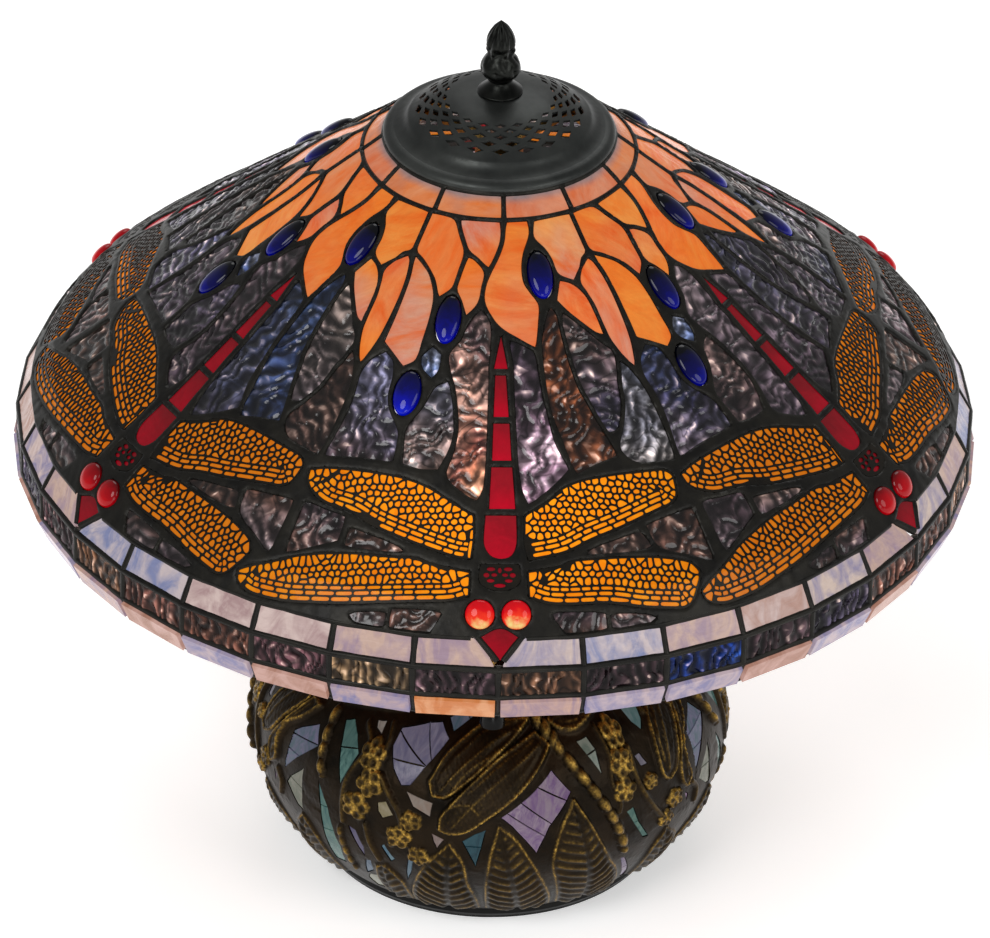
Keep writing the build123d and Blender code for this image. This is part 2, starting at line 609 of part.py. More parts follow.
def pull_chain(azimuth):
    """Ball chain as one turned string of beads."""
    link = 0.6
    count = int((CHAIN_TOP_Z - FOB_TOP_Z) / BEAD_PITCH)
    edges = []
    z = FOB_TOP_Z + 0.05
    half = (BEAD_R ** 2 - link ** 2) ** 0.5
    edges.append(Line((0, 0, z), (link, 0, z)))
    for k in range(count):
        centre = z + BEAD_PITCH * (k + 0.5)
        edges.append(Line((link, 0, centre - BEAD_PITCH / 2), (link, 0, centre - half)))
        edges.append(ThreePointArc((link, 0, centre - half), (BEAD_R, 0, centre), (link, 0, centre + half)))
        edges.append(Line((link, 0, centre + half), (link, 0, centre + BEAD_PITCH / 2)))
    top = z + BEAD_PITCH * count
    edges.append(Line((link, 0, top), (0, 0, top)))
    edges.append(Line((0, 0, top), (0, 0, z)))
    return [revolve(make_face(edges), Axis.Z).solid().moved(Location(polar(azimuth, CHAIN_RHO)))]


def chain_fob(azimuth):
    """Bell-shaped pull at the chain's end, with a flat underside."""
    z0, z1 = FOB_BOTTOM_Z, FOB_TOP_Z
    line = Spline((FOB_R, 0, z0), (FOB_R * 0.86, 0, z0 + 6), (FOB_R * 0.55, 0, z0 + 14), (2.4, 0, z1),
                  tangents=[(0, 0, 1), (-0.6, 0, 1)])
    rest = Polyline((2.4, 0, z1), (0, 0, z1), (0, 0, z0), (FOB_R, 0, z0))
    return [revolve(make_face([line, rest]), Axis.Z).solid().moved(Location(polar(azimuth, CHAIN_RHO)))]


# ---- base ------------------------------------------------------------------------
# Mosaic windows between the cast ornament, one third of the base: (phi, height).
# Each is an outline and the joint lines that split it into tiles.
MOSAIC = [
    ([(-53, 112), (-50, 103), (-55.5, 91), (-60, 79), (-62, 87), (-63, 97), (-58, 106)],
     [((-64, 99), (-48, 104)), ((-64, 92), (-50, 92))]),
    ([(-46, 119), (-43.5, 121), (-40, 116), (-37.3, 109), (-40, 91), (-43, 107), (-44, 112)],
     [((-46, 107), (-36, 112))]),
    ([(-36.4, 124), (-33.5, 125), (-33.2, 119.5), (-35.5, 121)], []),
    ([(-28, 124.5), (-20, 128.5), (-16, 129.5), (-12.8, 124), (-18, 111.5), (-21, 102), (-23.3, 101),
      (-26.5, 108),
      (-28.7, 117)], [((-29, 124), (-16, 110)), ((-21, 132), (-15, 108)), ((-30, 112), (-14, 112))]),
    ([(-14, 131), (-9, 135.5), (-5, 136.5), (-2.5, 135.5), (-8, 130.5), (-12, 126.5)],
     [((-10, 138), (-6, 128))]),
    ([(-21.7, 99), (-14.6, 95.5), (-15, 87.5), (-19.5, 91.5)], []),
    ([(-28.8, 89), (-26.5, 91), (-24.2, 84), (-27, 80.5), (-28.4, 84)], []),
    ([(-14.4, 78), (-11.2, 75), (-13, 68.5), (-14, 73)], []),
    ([(-7, 75), (-4, 80), (-1.2, 83), (-2.2, 72), (-3.6, 58), (-5.5, 68)], [((-8, 72), (0, 71.5))]),
    ([(2.3, 90), (10, 101.5), (16, 111.5), (20.3, 100), (18, 93), (14.3, 83), (11, 66.5), (8, 76),
      (5, 84.5)],
     [((6, 100), (18, 78)), ((9, 108), (22, 92)), ((1, 97), (16, 72))]),
    ([(25, 120.5), (28.5, 121.5), (29.8, 116), (29.4, 104.5), (27.5, 112)], [((24, 113), (31, 116))]),
    ([(43.2, 128.5), (49.6, 125.7), (48, 119), (46, 115.5), (44.3, 120)], []),
    ([(40.2, 107), (42, 107.5), (43.3, 101), (41.2, 101)], []),
    ([(34.7, 80), (36.8, 81.5), (38.3, 71), (42, 57), (40, 58), (37.5, 68)], [((33, 70), (42, 72))]),
    ([(54.7, 72.5), (56.3, 69), (55.6, 65)], []),
    ([(67.6, 88), (63, 78), (61.4, 72), (66, 62.5), (68.2, 61), (67.8, 75)], [((60, 78), (70, 74))]),
    ([(-46.8, 87), (-43, 74), (-41.5, 62), (-40.3, 48), (-41.5, 32), (-46, 30), (-45.2, 45), (-45, 60),
      (-45.5, 72)],
     [((-48, 72), (-40, 74)), ((-48, 56), (-38, 60))]),
    ([(-36.6, 68.5), (-34.3, 67), (-32.3, 57), (-32.6, 49), (-34, 55), (-35.3, 62)], []),
    ([(-32.8, 46), (-31.2, 47), (-31.6, 37), (-34.8, 31), (-34, 38)], []),
    ([(-27.3, 62), (-26.5, 64), (-23.8, 54.5), (-25, 52)], []),
    ([(-20.4, 57), (-19, 57), (-20, 46), (-21.8, 37), (-21.4, 46)], []),
    ([(-34, 31), (-31.4, 32.5), (-31.4, 17), (-36, 14), (-36.2, 24)], []),
    ([(34.4, 47.5), (36, 46.5), (38.4, 38), (43, 22), (44.5, 15), (42.5, 16), (38.5, 30), (36, 40)],
     [((35, 33), (42, 34))])]
LOWER_FALL = 32.0                # how far the base narrows from the belly to the foot
LOWER_POWER = 1.8
UPPER_POWER = 2.8
CORD_EXIT_Z = 19.0
COIL_CENTRE_Y = 195.0
COIL_R = 59.0
COIL_TURNS = 2.6
COIL_PITCH = 7.0
PLUG_SIZE = (32.0, 24.0, 15.0)


def base_radius(z):
    """The base's outer radius at a height: a full belly, flaring foot and domed top."""
    if z < BELLY_Z:
        return BELLY_R - LOWER_FALL * ((BELLY_Z - z) / (BELLY_Z - FOOT_TOP_Z)) ** LOWER_POWER
    r_top, z_top = BASE_TOP
    return BELLY_R - (BELLY_R - r_top) * ((z - BELLY_Z) / (z_top - BELLY_Z)) ** UPPER_POWER


def base_layer(outer, inner):
    """A solid between two depths below the base's outer face."""
    heights = [FOOT_TOP_Z, 20, 32, 44, 56, BELLY_Z, 80, 92, 104, 116, 128, 140, BASE_TOP[1]]
    line = [(base_radius(z), z) for z in heights]
    a = [(r, 0, z) for r, z in offset_line(line, outer)]
    b = [(r, 0, z) for r, z in offset_line(line, inner)]
    section = make_face([Spline(*a), Spline(*b), Line(a[0], b[0]), Line(a[-1], b[-1])])
    return revolve(section, Axis.Z).solid()


def split_outline(outline, joint):
    """The two parts of an outline on either side of a joint line."""
    (x0, y0), (x1, y1) = joint

    def side(p):
        return (x1 - x0) * (p[1] - y0) - (y1 - y0) * (p[0] - x0)

    parts = []
    for sign in (1, -1):
        part = []
        for p, q in zip(outline, outline[1:] + outline[:1]):
            a, b = sign * side(p), sign * side(q)
            if a >= 0:
                part.append(p)
            if a * b < 0:
                part.append((p[0] + (q[0] - p[0]) * a / (a - b), p[1] + (q[1] - p[1]) * a / (a - b)))
        if len(part) > 2:
            parts.append(part)
    return parts


def signed_area(outline):
    return sum(x0 * y1 - x1 * y0 for (x0, y0), (x1, y1) in zip(outline, outline[1:] + outline[:1])) / 2


def unrolled(outline, middle=0.0):
    """A (phi, height) outline in flat millimetres across the azimuth middle."""
    return [(base_radius(z) * sin(radians(phi - middle)), z) for phi, z in outline]


def inset_outline(outline, distance):
    """A closed outline moved inwards by distance, corners mitred and short edges dropped."""
    line = outline if signed_area(outline) > 0 else outline[::-1]
    line = [p for p, q in zip(line, line[-1:] + line[:-1]) if hypot(p[0] - q[0],
                                                                    p[1] - q[1]) > 4 * distance]
    moved = []
    for (x0, y0), (x, y), (x1, y1) in zip(line[-1:] + line[:-1], line, line[1:] + line[:1]):
        before, after = hypot(x - x0, y - y0), hypot(x1 - x, y1 - y)
        a, b = (y0 - y) / before, (x - x0) / before
        c, d = (y - y1) / after, (x1 - x) / after
        scale = distance / max(1 + a * c + b * d, 0.4)
        moved.append((x + (a + c) * scale, y + (b + d) * scale))
    return moved


def radial_prism(outline, inset):
    """A prism that stands out of the base over a (phi, height) outline."""
    middle = sum(phi for phi, _ in outline) / len(outline)
    plane = Plane(origin=polar(middle, BASE_TOP[0] - 10, 0), x_dir=polar(middle + 90, 1),
                  z_dir=polar(middle, 1))
    face = make_face(Polyline(inset_outline(unrolled(outline, middle), inset), close=True))
    return extrude(plane * face, BELLY_R, dir=plane.z_dir)


def mosaic_tiles():
    """Glass tiles cemented in their seats."""
    layer = base_layer(0.0, TILE_T)
    tiles = []
    for outline, joints in MOSAIC:
        parts = [outline]
        for joint in joints:
            parts = [piece for part in parts for piece in split_outline(part, joint)]
        for part in parts:
            if abs(signed_area(unrolled(part))) > SMALLEST_TILE:
                tiles += (layer & radial_prism(part, TILE_JOINT)).solids()
    return around(tiles, BASE_REPEAT)


def base_shell():
    """Hollow cast base with a seat for every mosaic window and a hole for the cord."""
    seats = base_layer(-1.0, TILE_T + TILE_SEAT)
    cutters = [seats & radial_prism(outline, 0) for outline, _ in MOSAIC]
    cord_hole = Plane(origin=(0, 60, CORD_EXIT_Z), z_dir=(0, 1, 0)) * Cylinder(5.55, 160)
    half = cord_hole & Box(40, 200, 40).moved(Location((0, 100, CORD_EXIT_Z)))
    shell = base_layer(0.0, BASE_WALL)
    return [shell.cut(*[s for c in around(cutters, BASE_REPEAT) for s in c.solids()],
                      *half.solids()).solid()]


def foot_ring():
    return [turned([(88, FELT_T), (95, FELT_T), (FOOT_R + 0.8, 4), (FOOT_R + 0.8, FOOT_TOP_Z - 1.9),
                    (88, FOOT_TOP_Z - 1.9)])]


def felt_pad():
    return [rod(94.5, 0.0, FELT_T)]


PLATE_Z = (7.2, 8.7)
SCREW_CIRCLE_R = 60.0
SCREW_AZIMUTHS = (60, 180, 300)


def base_plate():
    """Steel plate that closes the base."""
    z0, z1 = PLATE_Z
    plate = tube(92.0, STUD_R + STUD_CLEAR, z0, z1)
    holes = [rod(2.1, z0 - 1, z1 + 1).moved(Location(polar(a, SCREW_CIRCLE_R))) for a in SCREW_AZIMUTHS]
    return [plate.cut(*holes).solid()]


def ballast():
    """Cast iron weight on the base plate."""
    z0 = PLATE_Z[1] + 0.1
    nut_pocket_r, nut_pocket_z = 9.6, 14.6
    weight = turned([(nut_pocket_r, z0), (82, z0), (82, z0 + 16), (72, z0 + 24),
                     (STUD_R + STUD_CLEAR, z0 + 24),
                     (STUD_R + STUD_CLEAR, nut_pocket_z), (nut_pocket_r, nut_pocket_z)])
    holes = [rod(2.05, z0 - 1, z0 + 12).moved(Location(polar(a, SCREW_CIRCLE_R))) for a in SCREW_AZIMUTHS]
    return [weight.cut(*holes).solid()]


def base_screws():
    """Pan-head screws through the plate into the ballast."""
    head = PLATE_Z[0]
    screw = turned([(0, head - 2.6), (2.6, head - 2.6), (3.8, head - 1.6), (3.8, head - 0.05),
                    (2.0, head - 0.05),
                    (2.0, head + 12), (0, head + 12)])
    return [screw.moved(Location(polar(a, SCREW_CIRCLE_R))) for a in SCREW_AZIMUTHS]


def base_collar():
    """Turned collar that closes the top of the base and carries the stem."""
    r, z = BASE_TOP
    bore = STUD_R + 0.3
    return [turned([(bore, z + 0.1), (r - 1.5, z + 0.1), (r - 3, z + 3), (r - 14, z + 8), (r - 22, z + 12),
                    (r - 26, z + 17), (r - 31, z + 20), (r - 33, z + 24), (bore, z + 24)])]


def stem_wire():
    """Twin lead inside the stud."""
    return [rod(2.3, 12, SOCKET_HUB_Z)]


def cord_bushing():
    """Rubber bushing where the cord leaves the base."""
    r = base_radius(CORD_EXIT_Z)
    bore = CORD_R + 1.0
    bush = turned([(bore, r - 8), (5.5, r - 8), (5.5, r + 4.5), (4.9, r + 5.5), (bore, r + 5.5)])
    return [bush.moved(Plane(origin=(0, 0, CORD_EXIT_Z), z_dir=(0, 1, 0)).location)]


def coil_point(turns):
    r = COIL_R - COIL_PITCH * turns
    a = radians(-72 + 360 * turns)
    return (r * cos(a), COIL_CENTRE_Y + r * sin(a), CORD_R + 0.05)


def cord():
    """Supply cord from inside the base to a flat coil behind it."""
    lying = CORD_R + 0.05
    points = [(0, 88, CORD_EXIT_Z), (0, 104, CORD_EXIT_Z), (0, 116, CORD_EXIT_Z - 1.5), (4, 128, 9)]
    points += [coil_point(COIL_TURNS * k / 32) for k in range(33)]
    x, y, _ = points[-1]
    points += [(-31, COIL_CENTRE_Y + 2, lying + 1.5), (-PLUG_SIZE[0] / 2 - 4, COIL_CENTRE_Y,
                                                       PLUG_SIZE[2] / 2 + 0.2)]
    path = Spline(*points, tangents=[(0, 1, 0), (1, 0, 0)])
    start = Plane(origin=points[0], z_dir=(0, 1, 0))
    return [sweep(start * Circle(CORD_R), path=path).solid()]


def plug_body():
    """Moulded plug inside the coil, lying flat."""
    length, width, height = PLUG_SIZE
    body = Box(length, width, height).moved(Location((0, COIL_CENTRE_Y, height / 2 + 0.2)))
    neck = Plane(origin=(-length / 2, COIL_CENTRE_Y, height / 2 + 0.2), z_dir=(-1, 0, 0)) * Cylinder(
        5.0, 4.0, align=(Align.CENTER, Align.CENTER, Align.MIN))
    return [(fillet(body.edges(), 3.0) + neck).solid()]


def plug_prongs():
    """Two flat brass blades."""
    length, _, height = PLUG_SIZE
    blade = Box(15, 1.5, 6.3).moved(Location((length / 2 + 7.55, COIL_CENTRE_Y, height / 2 + 0.2)))
    return [blade.moved(Location((0, side * 6.35, 0))) for side in (-1, 1)]


# ---- assembly --------------------------------------------------------------------
def nodes():
    """Every sub-part as {node: solids}."""
    parts = shade_glass()
    for make in (wing_filigree, head_filigree, lead_lattice, rim_wire, shade_top_ring, heat_cap, finial,
                 shade_wheel,
                 stud, stud_nuts, stem_sleeves, cluster_body, cluster_arms, arm_nuts, socket_caps,
                 socket_shells,
                 socket_liners, socket_interiors, lead_wires, chain_outlets, base_shell, mosaic_tiles,
                 foot_ring,
                 felt_pad, base_plate, ballast, base_screws, base_collar, stem_wire, cord_bushing, cord,
                 plug_body,
                 plug_prongs):
        parts[make.__name__] = make()
    for side, azimuth in SOCKET_AZIMUTHS.items():
        for make in (bulb_glass, bulb_base, pull_chain, chain_fob):
            parts[f"{make.__name__}_{side}"] = make(azimuth)
    return parts


os.makedirs("parts", exist_ok=True)
for node, solids in nodes().items():
    export_step(Compound(children=solids), f"parts/{node}.step")
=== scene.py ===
import math
import random
from math import cos, pi, radians, sin

import bpy
import numpy as np
from mathutils import Matrix, Vector
from mathutils.geometry import delaunay_2d_cdt


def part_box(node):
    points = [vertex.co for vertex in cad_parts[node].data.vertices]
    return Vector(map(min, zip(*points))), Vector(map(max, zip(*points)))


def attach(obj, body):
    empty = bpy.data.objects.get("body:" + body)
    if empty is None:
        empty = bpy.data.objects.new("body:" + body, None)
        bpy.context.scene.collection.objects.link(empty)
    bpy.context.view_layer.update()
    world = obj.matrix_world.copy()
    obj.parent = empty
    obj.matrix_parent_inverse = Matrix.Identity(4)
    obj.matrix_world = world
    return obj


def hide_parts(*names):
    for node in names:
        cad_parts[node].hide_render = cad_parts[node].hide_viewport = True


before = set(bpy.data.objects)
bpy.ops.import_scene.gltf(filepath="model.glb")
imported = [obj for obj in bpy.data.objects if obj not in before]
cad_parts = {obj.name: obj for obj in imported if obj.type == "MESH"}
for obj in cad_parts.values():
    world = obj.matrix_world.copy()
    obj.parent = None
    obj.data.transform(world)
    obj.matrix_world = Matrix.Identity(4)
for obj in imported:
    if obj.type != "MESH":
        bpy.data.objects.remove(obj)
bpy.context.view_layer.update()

# Lengths here are millimetres in the CAD frame; MM turns them into metres at the last step.
# Azimuths (phi) are degrees from the front (-Y) towards +X, as in the CAD.
MM = 0.001


def span(node):
    """A CAD node's box in millimetres."""
    low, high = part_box(node)
    return np.array(low) / MM, np.array(high) / MM


# ---- the shade's wall, taken from the frame --------------------------------------
LATTICE_LOW, LATTICE_HIGH = span("lead_lattice")
PROUD = 0.5                                       # the CAD lead stands this far off the glass
SHADE_R = LATTICE_HIGH[0] - PROUD
CROWN_Z = LATTICE_HIGH[2] - 0.4
SLOPE = 0.8                                       # fall of the cone per unit of radius
APEX_R = 30.0                                     # inner end of the unrolled cone, under the cap
CROWN_RING_R, CROWN_R = 62.5, 61.6                # the cone's top edge, and the lead's inner edge
SHOULDER_RUN, SHOULDER_FALL = 12, 15.5            # the steeper band between the knee and the border
KNEE_R, BORDER_R = SHADE_R - 20, SHADE_R - 8
KNEE_Z = CROWN_Z - SLOPE * (KNEE_R - CROWN_RING_R)
BORDER_Z = KNEE_Z - SHOULDER_FALL
SHOULDER_Z = (span("upper_border_glass")[0][2] + span("ripple_border_glass")[1][2]) / 2
LOW_Z = (span("ripple_border_glass")[0][2] + span("rim_border_glass")[1][2]) / 2
RIM_R, RIM_Z = SHADE_R - 6, LATTICE_LOW[2] + 0.6
BORDER_LINE = [(BORDER_R, BORDER_Z), (SHADE_R, SHOULDER_Z), (SHADE_R, LOW_Z), (RIM_R, RIM_Z)]
GLASS_T = 3.0
SECTORS, SECTOR = 6, 60                           # the dragonfly repeats six times, every 60 degrees
FACETS, FACET = 36, 10                            # the border is a polygon with corners every 10 degrees
COS_WALL = 1 / math.hypot(1, SLOPE)
COS_KNEE = math.cos(math.atan2(KNEE_Z - BORDER_Z, BORDER_R - KNEE_R))

# The wall's section as radius, height and length along the slope, run on a little past the border.
BEYOND = 8
RADII = np.array([APEX_R, KNEE_R, BORDER_R, BORDER_R + BEYOND])
HEIGHTS = np.array([KNEE_Z + SLOPE * (KNEE_R - APEX_R), KNEE_Z, BORDER_Z,
                    BORDER_Z - BEYOND * SHOULDER_FALL / SHOULDER_RUN])
APEX_SLANT = APEX_R / COS_WALL
SLANTS = np.concatenate([[APEX_SLANT], APEX_SLANT + np.cumsum(np.hypot(np.diff(RADII), np.diff(HEIGHTS)))])


def to_flat(points):
    """(phi, radius) rows laid out on the unrolled cone, in millimetres."""
    p = np.asarray(points, float)
    slant = np.interp(p[:, 1], RADII, SLANTS)
    angle = np.radians(p[:, 0]) * COS_WALL
    return np.stack([slant * np.sin(angle), -slant * np.cos(angle)], 1)


def from_flat(flat):
    """(phi in radians, radius) of points on the unrolled cone."""
    slant = np.hypot(flat[:, 0], flat[:, 1])
    return np.arctan2(flat[:, 0], -flat[:, 1]) / COS_WALL, np.interp(slant, SLANTS, RADII)


def lift(flat, height):
    """Points of the unrolled cone put on the shade, height millimetres off the glass."""
    phi, r = from_flat(flat)
    tilt = np.interp(r, [KNEE_R - 6, BORDER_R - 3], [math.atan(SLOPE),
                                                     math.atan(SHOULDER_FALL / SHOULDER_RUN)])
    z = np.interp(r, RADII, HEIGHTS) + height * np.cos(tilt)
    out = r + height * np.sin(tilt)
    return np.stack([out * np.sin(phi), -out * np.cos(phi), z], 1)


def spun(points, degrees):
    """Rows of xyz turned about the lamp's axis."""
    a = radians(degrees)
    turn = np.array([[cos(a), -sin(a), 0], [sin(a), cos(a), 0], [0, 0, 1]])
    return points @ turn.T


def all_round(points, faces):
    """A (points, faces) part once in each sector."""
    return [(spun(points, SECTOR * k), faces) for k in range(SECTORS)]


# ---- noise and colour ------------------------------------------------------------
def waves(points, scale, seed, octaves=3):
    """Smooth seeded noise, about -1 to 1, as a sum of plane waves."""
    rng = np.random.default_rng(seed)
    p = np.asarray(points, float) / scale
    total, weight = np.zeros(len(p)), 0.0
    for octave in range(octaves):
        for _ in range(6):
            direction = rng.normal(size=p.shape[1])
            direction *= 2 ** octave / np.linalg.norm(direction) * rng.uniform(0.6, 1.4)
            total += np.sin(p @ direction * 2 * pi + rng.uniform(0, 2 * pi)) / 2 ** octave
            weight += 0.5 / 2 ** octave
    return np.clip(total / weight, -1, 1)


def colour(code):
    """Linear rgb of a hex colour."""
    srgb = [int(code[i:i + 2], 16) / 255 for i in (1, 3, 5)]
    return np.array([c / 12.92 if c <= 0.04045 else ((c + 0.055) / 1.055) ** 2.4 for c in srgb])


# ---- meshes ----------------------------------------------------------------------
def tri_mesh(name, points, faces, body, replaces=(), attributes=None, sharp=38, material=None):
    """A mesh piece from millimetre points and faces that ride on a body."""
    mesh = bpy.data.meshes.new(name)
    mesh.from_pydata([tuple(p) for p in np.asarray(points) * MM], [],
                     [tuple(int(i) for i in f) for f in faces])
    mesh.validate()
    mesh.polygons.foreach_set("use_smooth", [True] * len(mesh.polygons))
    mesh.set_sharp_from_angle(angle=radians(sharp))
    for key, values in (attributes or {}).items():
        values = np.asarray(values, float)
        if values.ndim == 1:
            layer = mesh.attributes.new(key, "FLOAT", "POINT")
            layer.data.foreach_set("value", values)
        else:
            layer = mesh.attributes.new(key, "FLOAT_COLOR", "POINT")
            layer.data.foreach_set("color", np.hstack([values, np.ones((len(values), 1))]).ravel())
    piece = bpy.data.objects.new(name, mesh)
    bpy.context.scene.collection.objects.link(piece)
    if material:
        mesh.materials.append(material)
    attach(piece, body)
    if replaces:
        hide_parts(*replaces)
    return piece


def closed(top, bottom, faces):
    """A closed solid between two matching point sets: (points, triangles)."""
    faces = np.asarray(faces)
    n = len(top)
    edges = np.concatenate([faces[:, [0, 1]], faces[:, [1, 2]], faces[:, [2, 0]]])
    keys = set(map(tuple, edges))
    rim = np.array([(a, b) for a, b in keys if (b, a) not in keys])
    walls = np.concatenate([np.stack([rim[:, 1], rim[:, 0], rim[:, 0] + n], 1),
                            np.stack([rim[:, 1], rim[:, 0] + n, rim[:, 1] + n], 1)])
    return np.concatenate([top, bottom]), np.concatenate([faces, faces[:, ::-1] + n, walls])


def joined(parts):
    """Several (points, faces) as one, faces as a list."""
    points, faces, base = [], [], 0
    for p, f in parts:
        points.append(np.asarray(p, float))
        faces += [tuple(int(i) + base for i in row) for row in f]
        base += len(p)
    return np.concatenate(points), faces


def swept(rings, loop=False):
    """Quads that join matching rings of points; ends are capped unless it loops."""
    rings = [np.asarray(r, float) for r in rings]
    n = len(rings[0])
    faces = []
    count = len(rings) if loop else len(rings) - 1
    for i in range(count):
        a, b = i * n, (i + 1) % len(rings) * n
        for j in range(n):
            k = (j + 1) % n
            faces.append((a + j, a + k, b + k, b + j))
    if not loop:
        faces.append(tuple(range(n))[::-1])
        faces.append(tuple(range((len(rings) - 1) * n, len(rings) * n)))
    return np.concatenate(rings), faces


def in_loop(points, loop):
    """Which points lie inside a closed loop."""
    x, y = points[:, 0], points[:, 1]
    result = np.zeros(len(points), bool)
    for (x0, y0), (x1, y1) in zip(loop, np.roll(loop, -1, 0)):
        if y0 == y1:
            continue
        hit = ((y0 > y) != (y1 > y)) & (x < x0 + (y - y0) / (y1 - y0) * (x1 - x0))
        result ^= hit
    return result


def near_loop(points, loop, reach=0):
    """Which points lie in a loop's box, let out by reach."""
    return ((points > loop.min(0) - reach) & (points < loop.max(0) + reach)).all(1)


def hits(points, loop):
    """Numbers of the points inside a loop."""
    near = np.where(near_loop(points, loop))[0]
    return near[in_loop(points[near], loop)]


def loop_distance(points, loop):
    """Distance from each point to a closed loop."""
    best = np.full(len(points), 1e9)
    for a, b in zip(loop, np.roll(loop, -1, 0)):
        d = b - a
        length = d @ d
        if length == 0:
            continue
        t = np.clip((points - a) @ d / length, 0, 1)
        best = np.minimum(best, np.hypot(*(points - a - t[:, None] * d).T))
    return best


def cleared(points, loop, reach, gap, keep_inside=True):
    """The points that are further than gap from a loop."""
    near = near_loop(points, loop, reach)
    keep = np.ones(len(points), bool)
    keep[near] = (loop_distance(points[near], loop) > gap) & (keep_inside | ~in_loop(points[near], loop))
    return points[keep]


def rounded(outline, step, corner=52):
    """A closed outline redrawn as a smooth curve that keeps its sharp corners."""
    p = np.asarray(outline, float)
    n = len(p)
    ahead, behind = np.roll(p, -1, 0) - p, p - np.roll(p, 1, 0)
    turn = np.abs((np.arctan2(ahead[:, 1], ahead[:, 0]) - np.arctan2(behind[:, 1],
                                                                     behind[:, 0]) + pi) % (2 * pi) - pi)
    sharp = turn > radians(corner)
    result = []
    for i in range(n):
        p1, p2 = p[i], p[(i + 1) % n]
        p0 = 2 * p1 - p2 if sharp[i] else p[i - 1]
        p3 = 2 * p2 - p1 if sharp[(i + 1) % n] else p[(i + 2) % n]
        m1, m2 = (p2 - p0) / 2, (p3 - p1) / 2
        length = np.linalg.norm(p2 - p1)
        m1 *= min(1, length / max(np.linalg.norm(m1), 1e-9))
        m2 *= min(1, length / max(np.linalg.norm(m2), 1e-9))
        for t in np.arange(max(1, round(length / step))) / max(1, round(length / step)):
            h = (2 * t ** 3 - 3 * t ** 2 + 1, t ** 3 - 2 * t ** 2 + t, 3 * t ** 2 - 2 * t ** 3,
                 t ** 3 - t ** 2)
            result.append(h[0] * p1 + h[1] * m1 + h[2] * p2 + h[3] * m2)
    return np.array(result)


def shifted(loop, distance):
    """A loop moved outwards by distance along its normals."""
    area = np.sum(loop[:, 0] * np.roll(loop[:, 1], -1) - np.roll(loop[:, 0], -1) * loop[:, 1])
    tangent = np.roll(loop, -1, 0) - np.roll(loop, 1, 0)
    normal = np.stack([tangent[:, 1], -tangent[:, 0]], 1) * np.sign(area)
    return loop + normal / np.maximum(np.linalg.norm(normal, axis=1, keepdims=True), 1e-9) * distance


def triangulated(loops, extra):
    """Delaunay triangles over loops (kept as edges) and loose points."""
    points, edges = [], []
    for loop in loops:
        base = len(points)
        points += [Vector(p) for p in loop]
        edges += [(base + i, base + (i + 1) % len(loop)) for i in range(len(loop))]
    points += [Vector(p) for p in extra]
    verts, _, faces, *_ = delaunay_2d_cdt(points, edges, [], 0, 1e-6)
    flat = np.array([tuple(v) for v in verts])
    tris = np.array([f for f in faces if len(f) == 3])
    a, b, c = flat[tris[:, 0]], flat[tris[:, 1]], flat[tris[:, 2]]
    area = (b - a)[:, 0] * (c - a)[:, 1] - (b - a)[:, 1] * (c - a)[:, 0]
    tris[area < 0] = tris[area < 0][:, ::-1]
    return flat, tris[np.abs(area) > 1e-7]


def subset(flat, tris):
    """Only the points that some triangles use."""
    used, packed = np.unique(tris, return_inverse=True)
    return flat[used], packed.reshape(-1, 3), used


# ---- glass outlines of one sector, (phi, radius), as in the CAD -------------------
PETALS = [
    [(3, 75), (10.7, 75), (10.5, 80), (7.5, 88), (6.5, 94), (6.8, 101), (8.5, 106), (10.2, 111), (9.3, 120),
     (8.2, 129.5), (5, 125.5), (1, 121), (-2, 115.5), (-3.8, 109), (-3.8, 103.5), (-2.5, 98), (0, 90),
     (2, 82)],
    [(14.3, 75.5), (29.3, 75), (29.3, 91.5), (27, 94), (25.5, 98), (22.3, 102.5), (18.3, 98.5), (17.5, 92),
     (16.2, 87), (13.2, 81.5)],
    [(18.3, 103), (21, 105), (24, 110.5), (25, 120), (25.2, 128.5), (24, 127), (20, 119.5), (16.4, 110.5)],
    [(29.3, 96), (30.2, 98), (31.2, 105), (31.5, 115), (31.2, 127), (30.7, 135), (29.5, 144.5), (28, 138),
     (26.5, 128), (26, 116), (24.6, 105), (26, 99.5)],
    [(-28, 95), (-25, 97.5), (-22, 101), (-20, 106), (-18.9, 112), (-18.6, 120), (-18.8, 130), (-19, 138),
     (-21, 141.5), (-24, 137), (-26.7, 133.5), (-26.4, 120), (-26.6, 105)],
    [(-28.6, 75), (-22, 75), (-19, 76), (-16, 81), (-13.1, 88), (-13.5, 96), (-14.3, 104.5), (-17, 109),
     (-19.2, 103), (-22, 98.5), (-25, 95), (-28.4, 91.5)],
    [(-15.5, 75.5), (-0.5, 75), (-0.3, 83), (-2, 89), (-3.8, 94), (-7, 90.5), (-11, 86.5), (-14, 80)],
    [(-10.3, 91.5), (-8.5, 92.5), (-5.6, 97), (-5.8, 103), (-6.5, 110), (-8.8, 116), (-10.5, 110),
     (-12.2, 105)]]
SMALL_LEAF = [(-15.5, 132.5), (-13.6, 135), (-13.6, 141), (-14.4, 144.5), (-16.5, 141), (-17.3, 137)]
CABOCHONS = [(12.4, 98.7, 3.9, 10.6), (-13.2, 119, 3.2, 10.8), (-18.5, 153.5, 2.7, 10.0)]
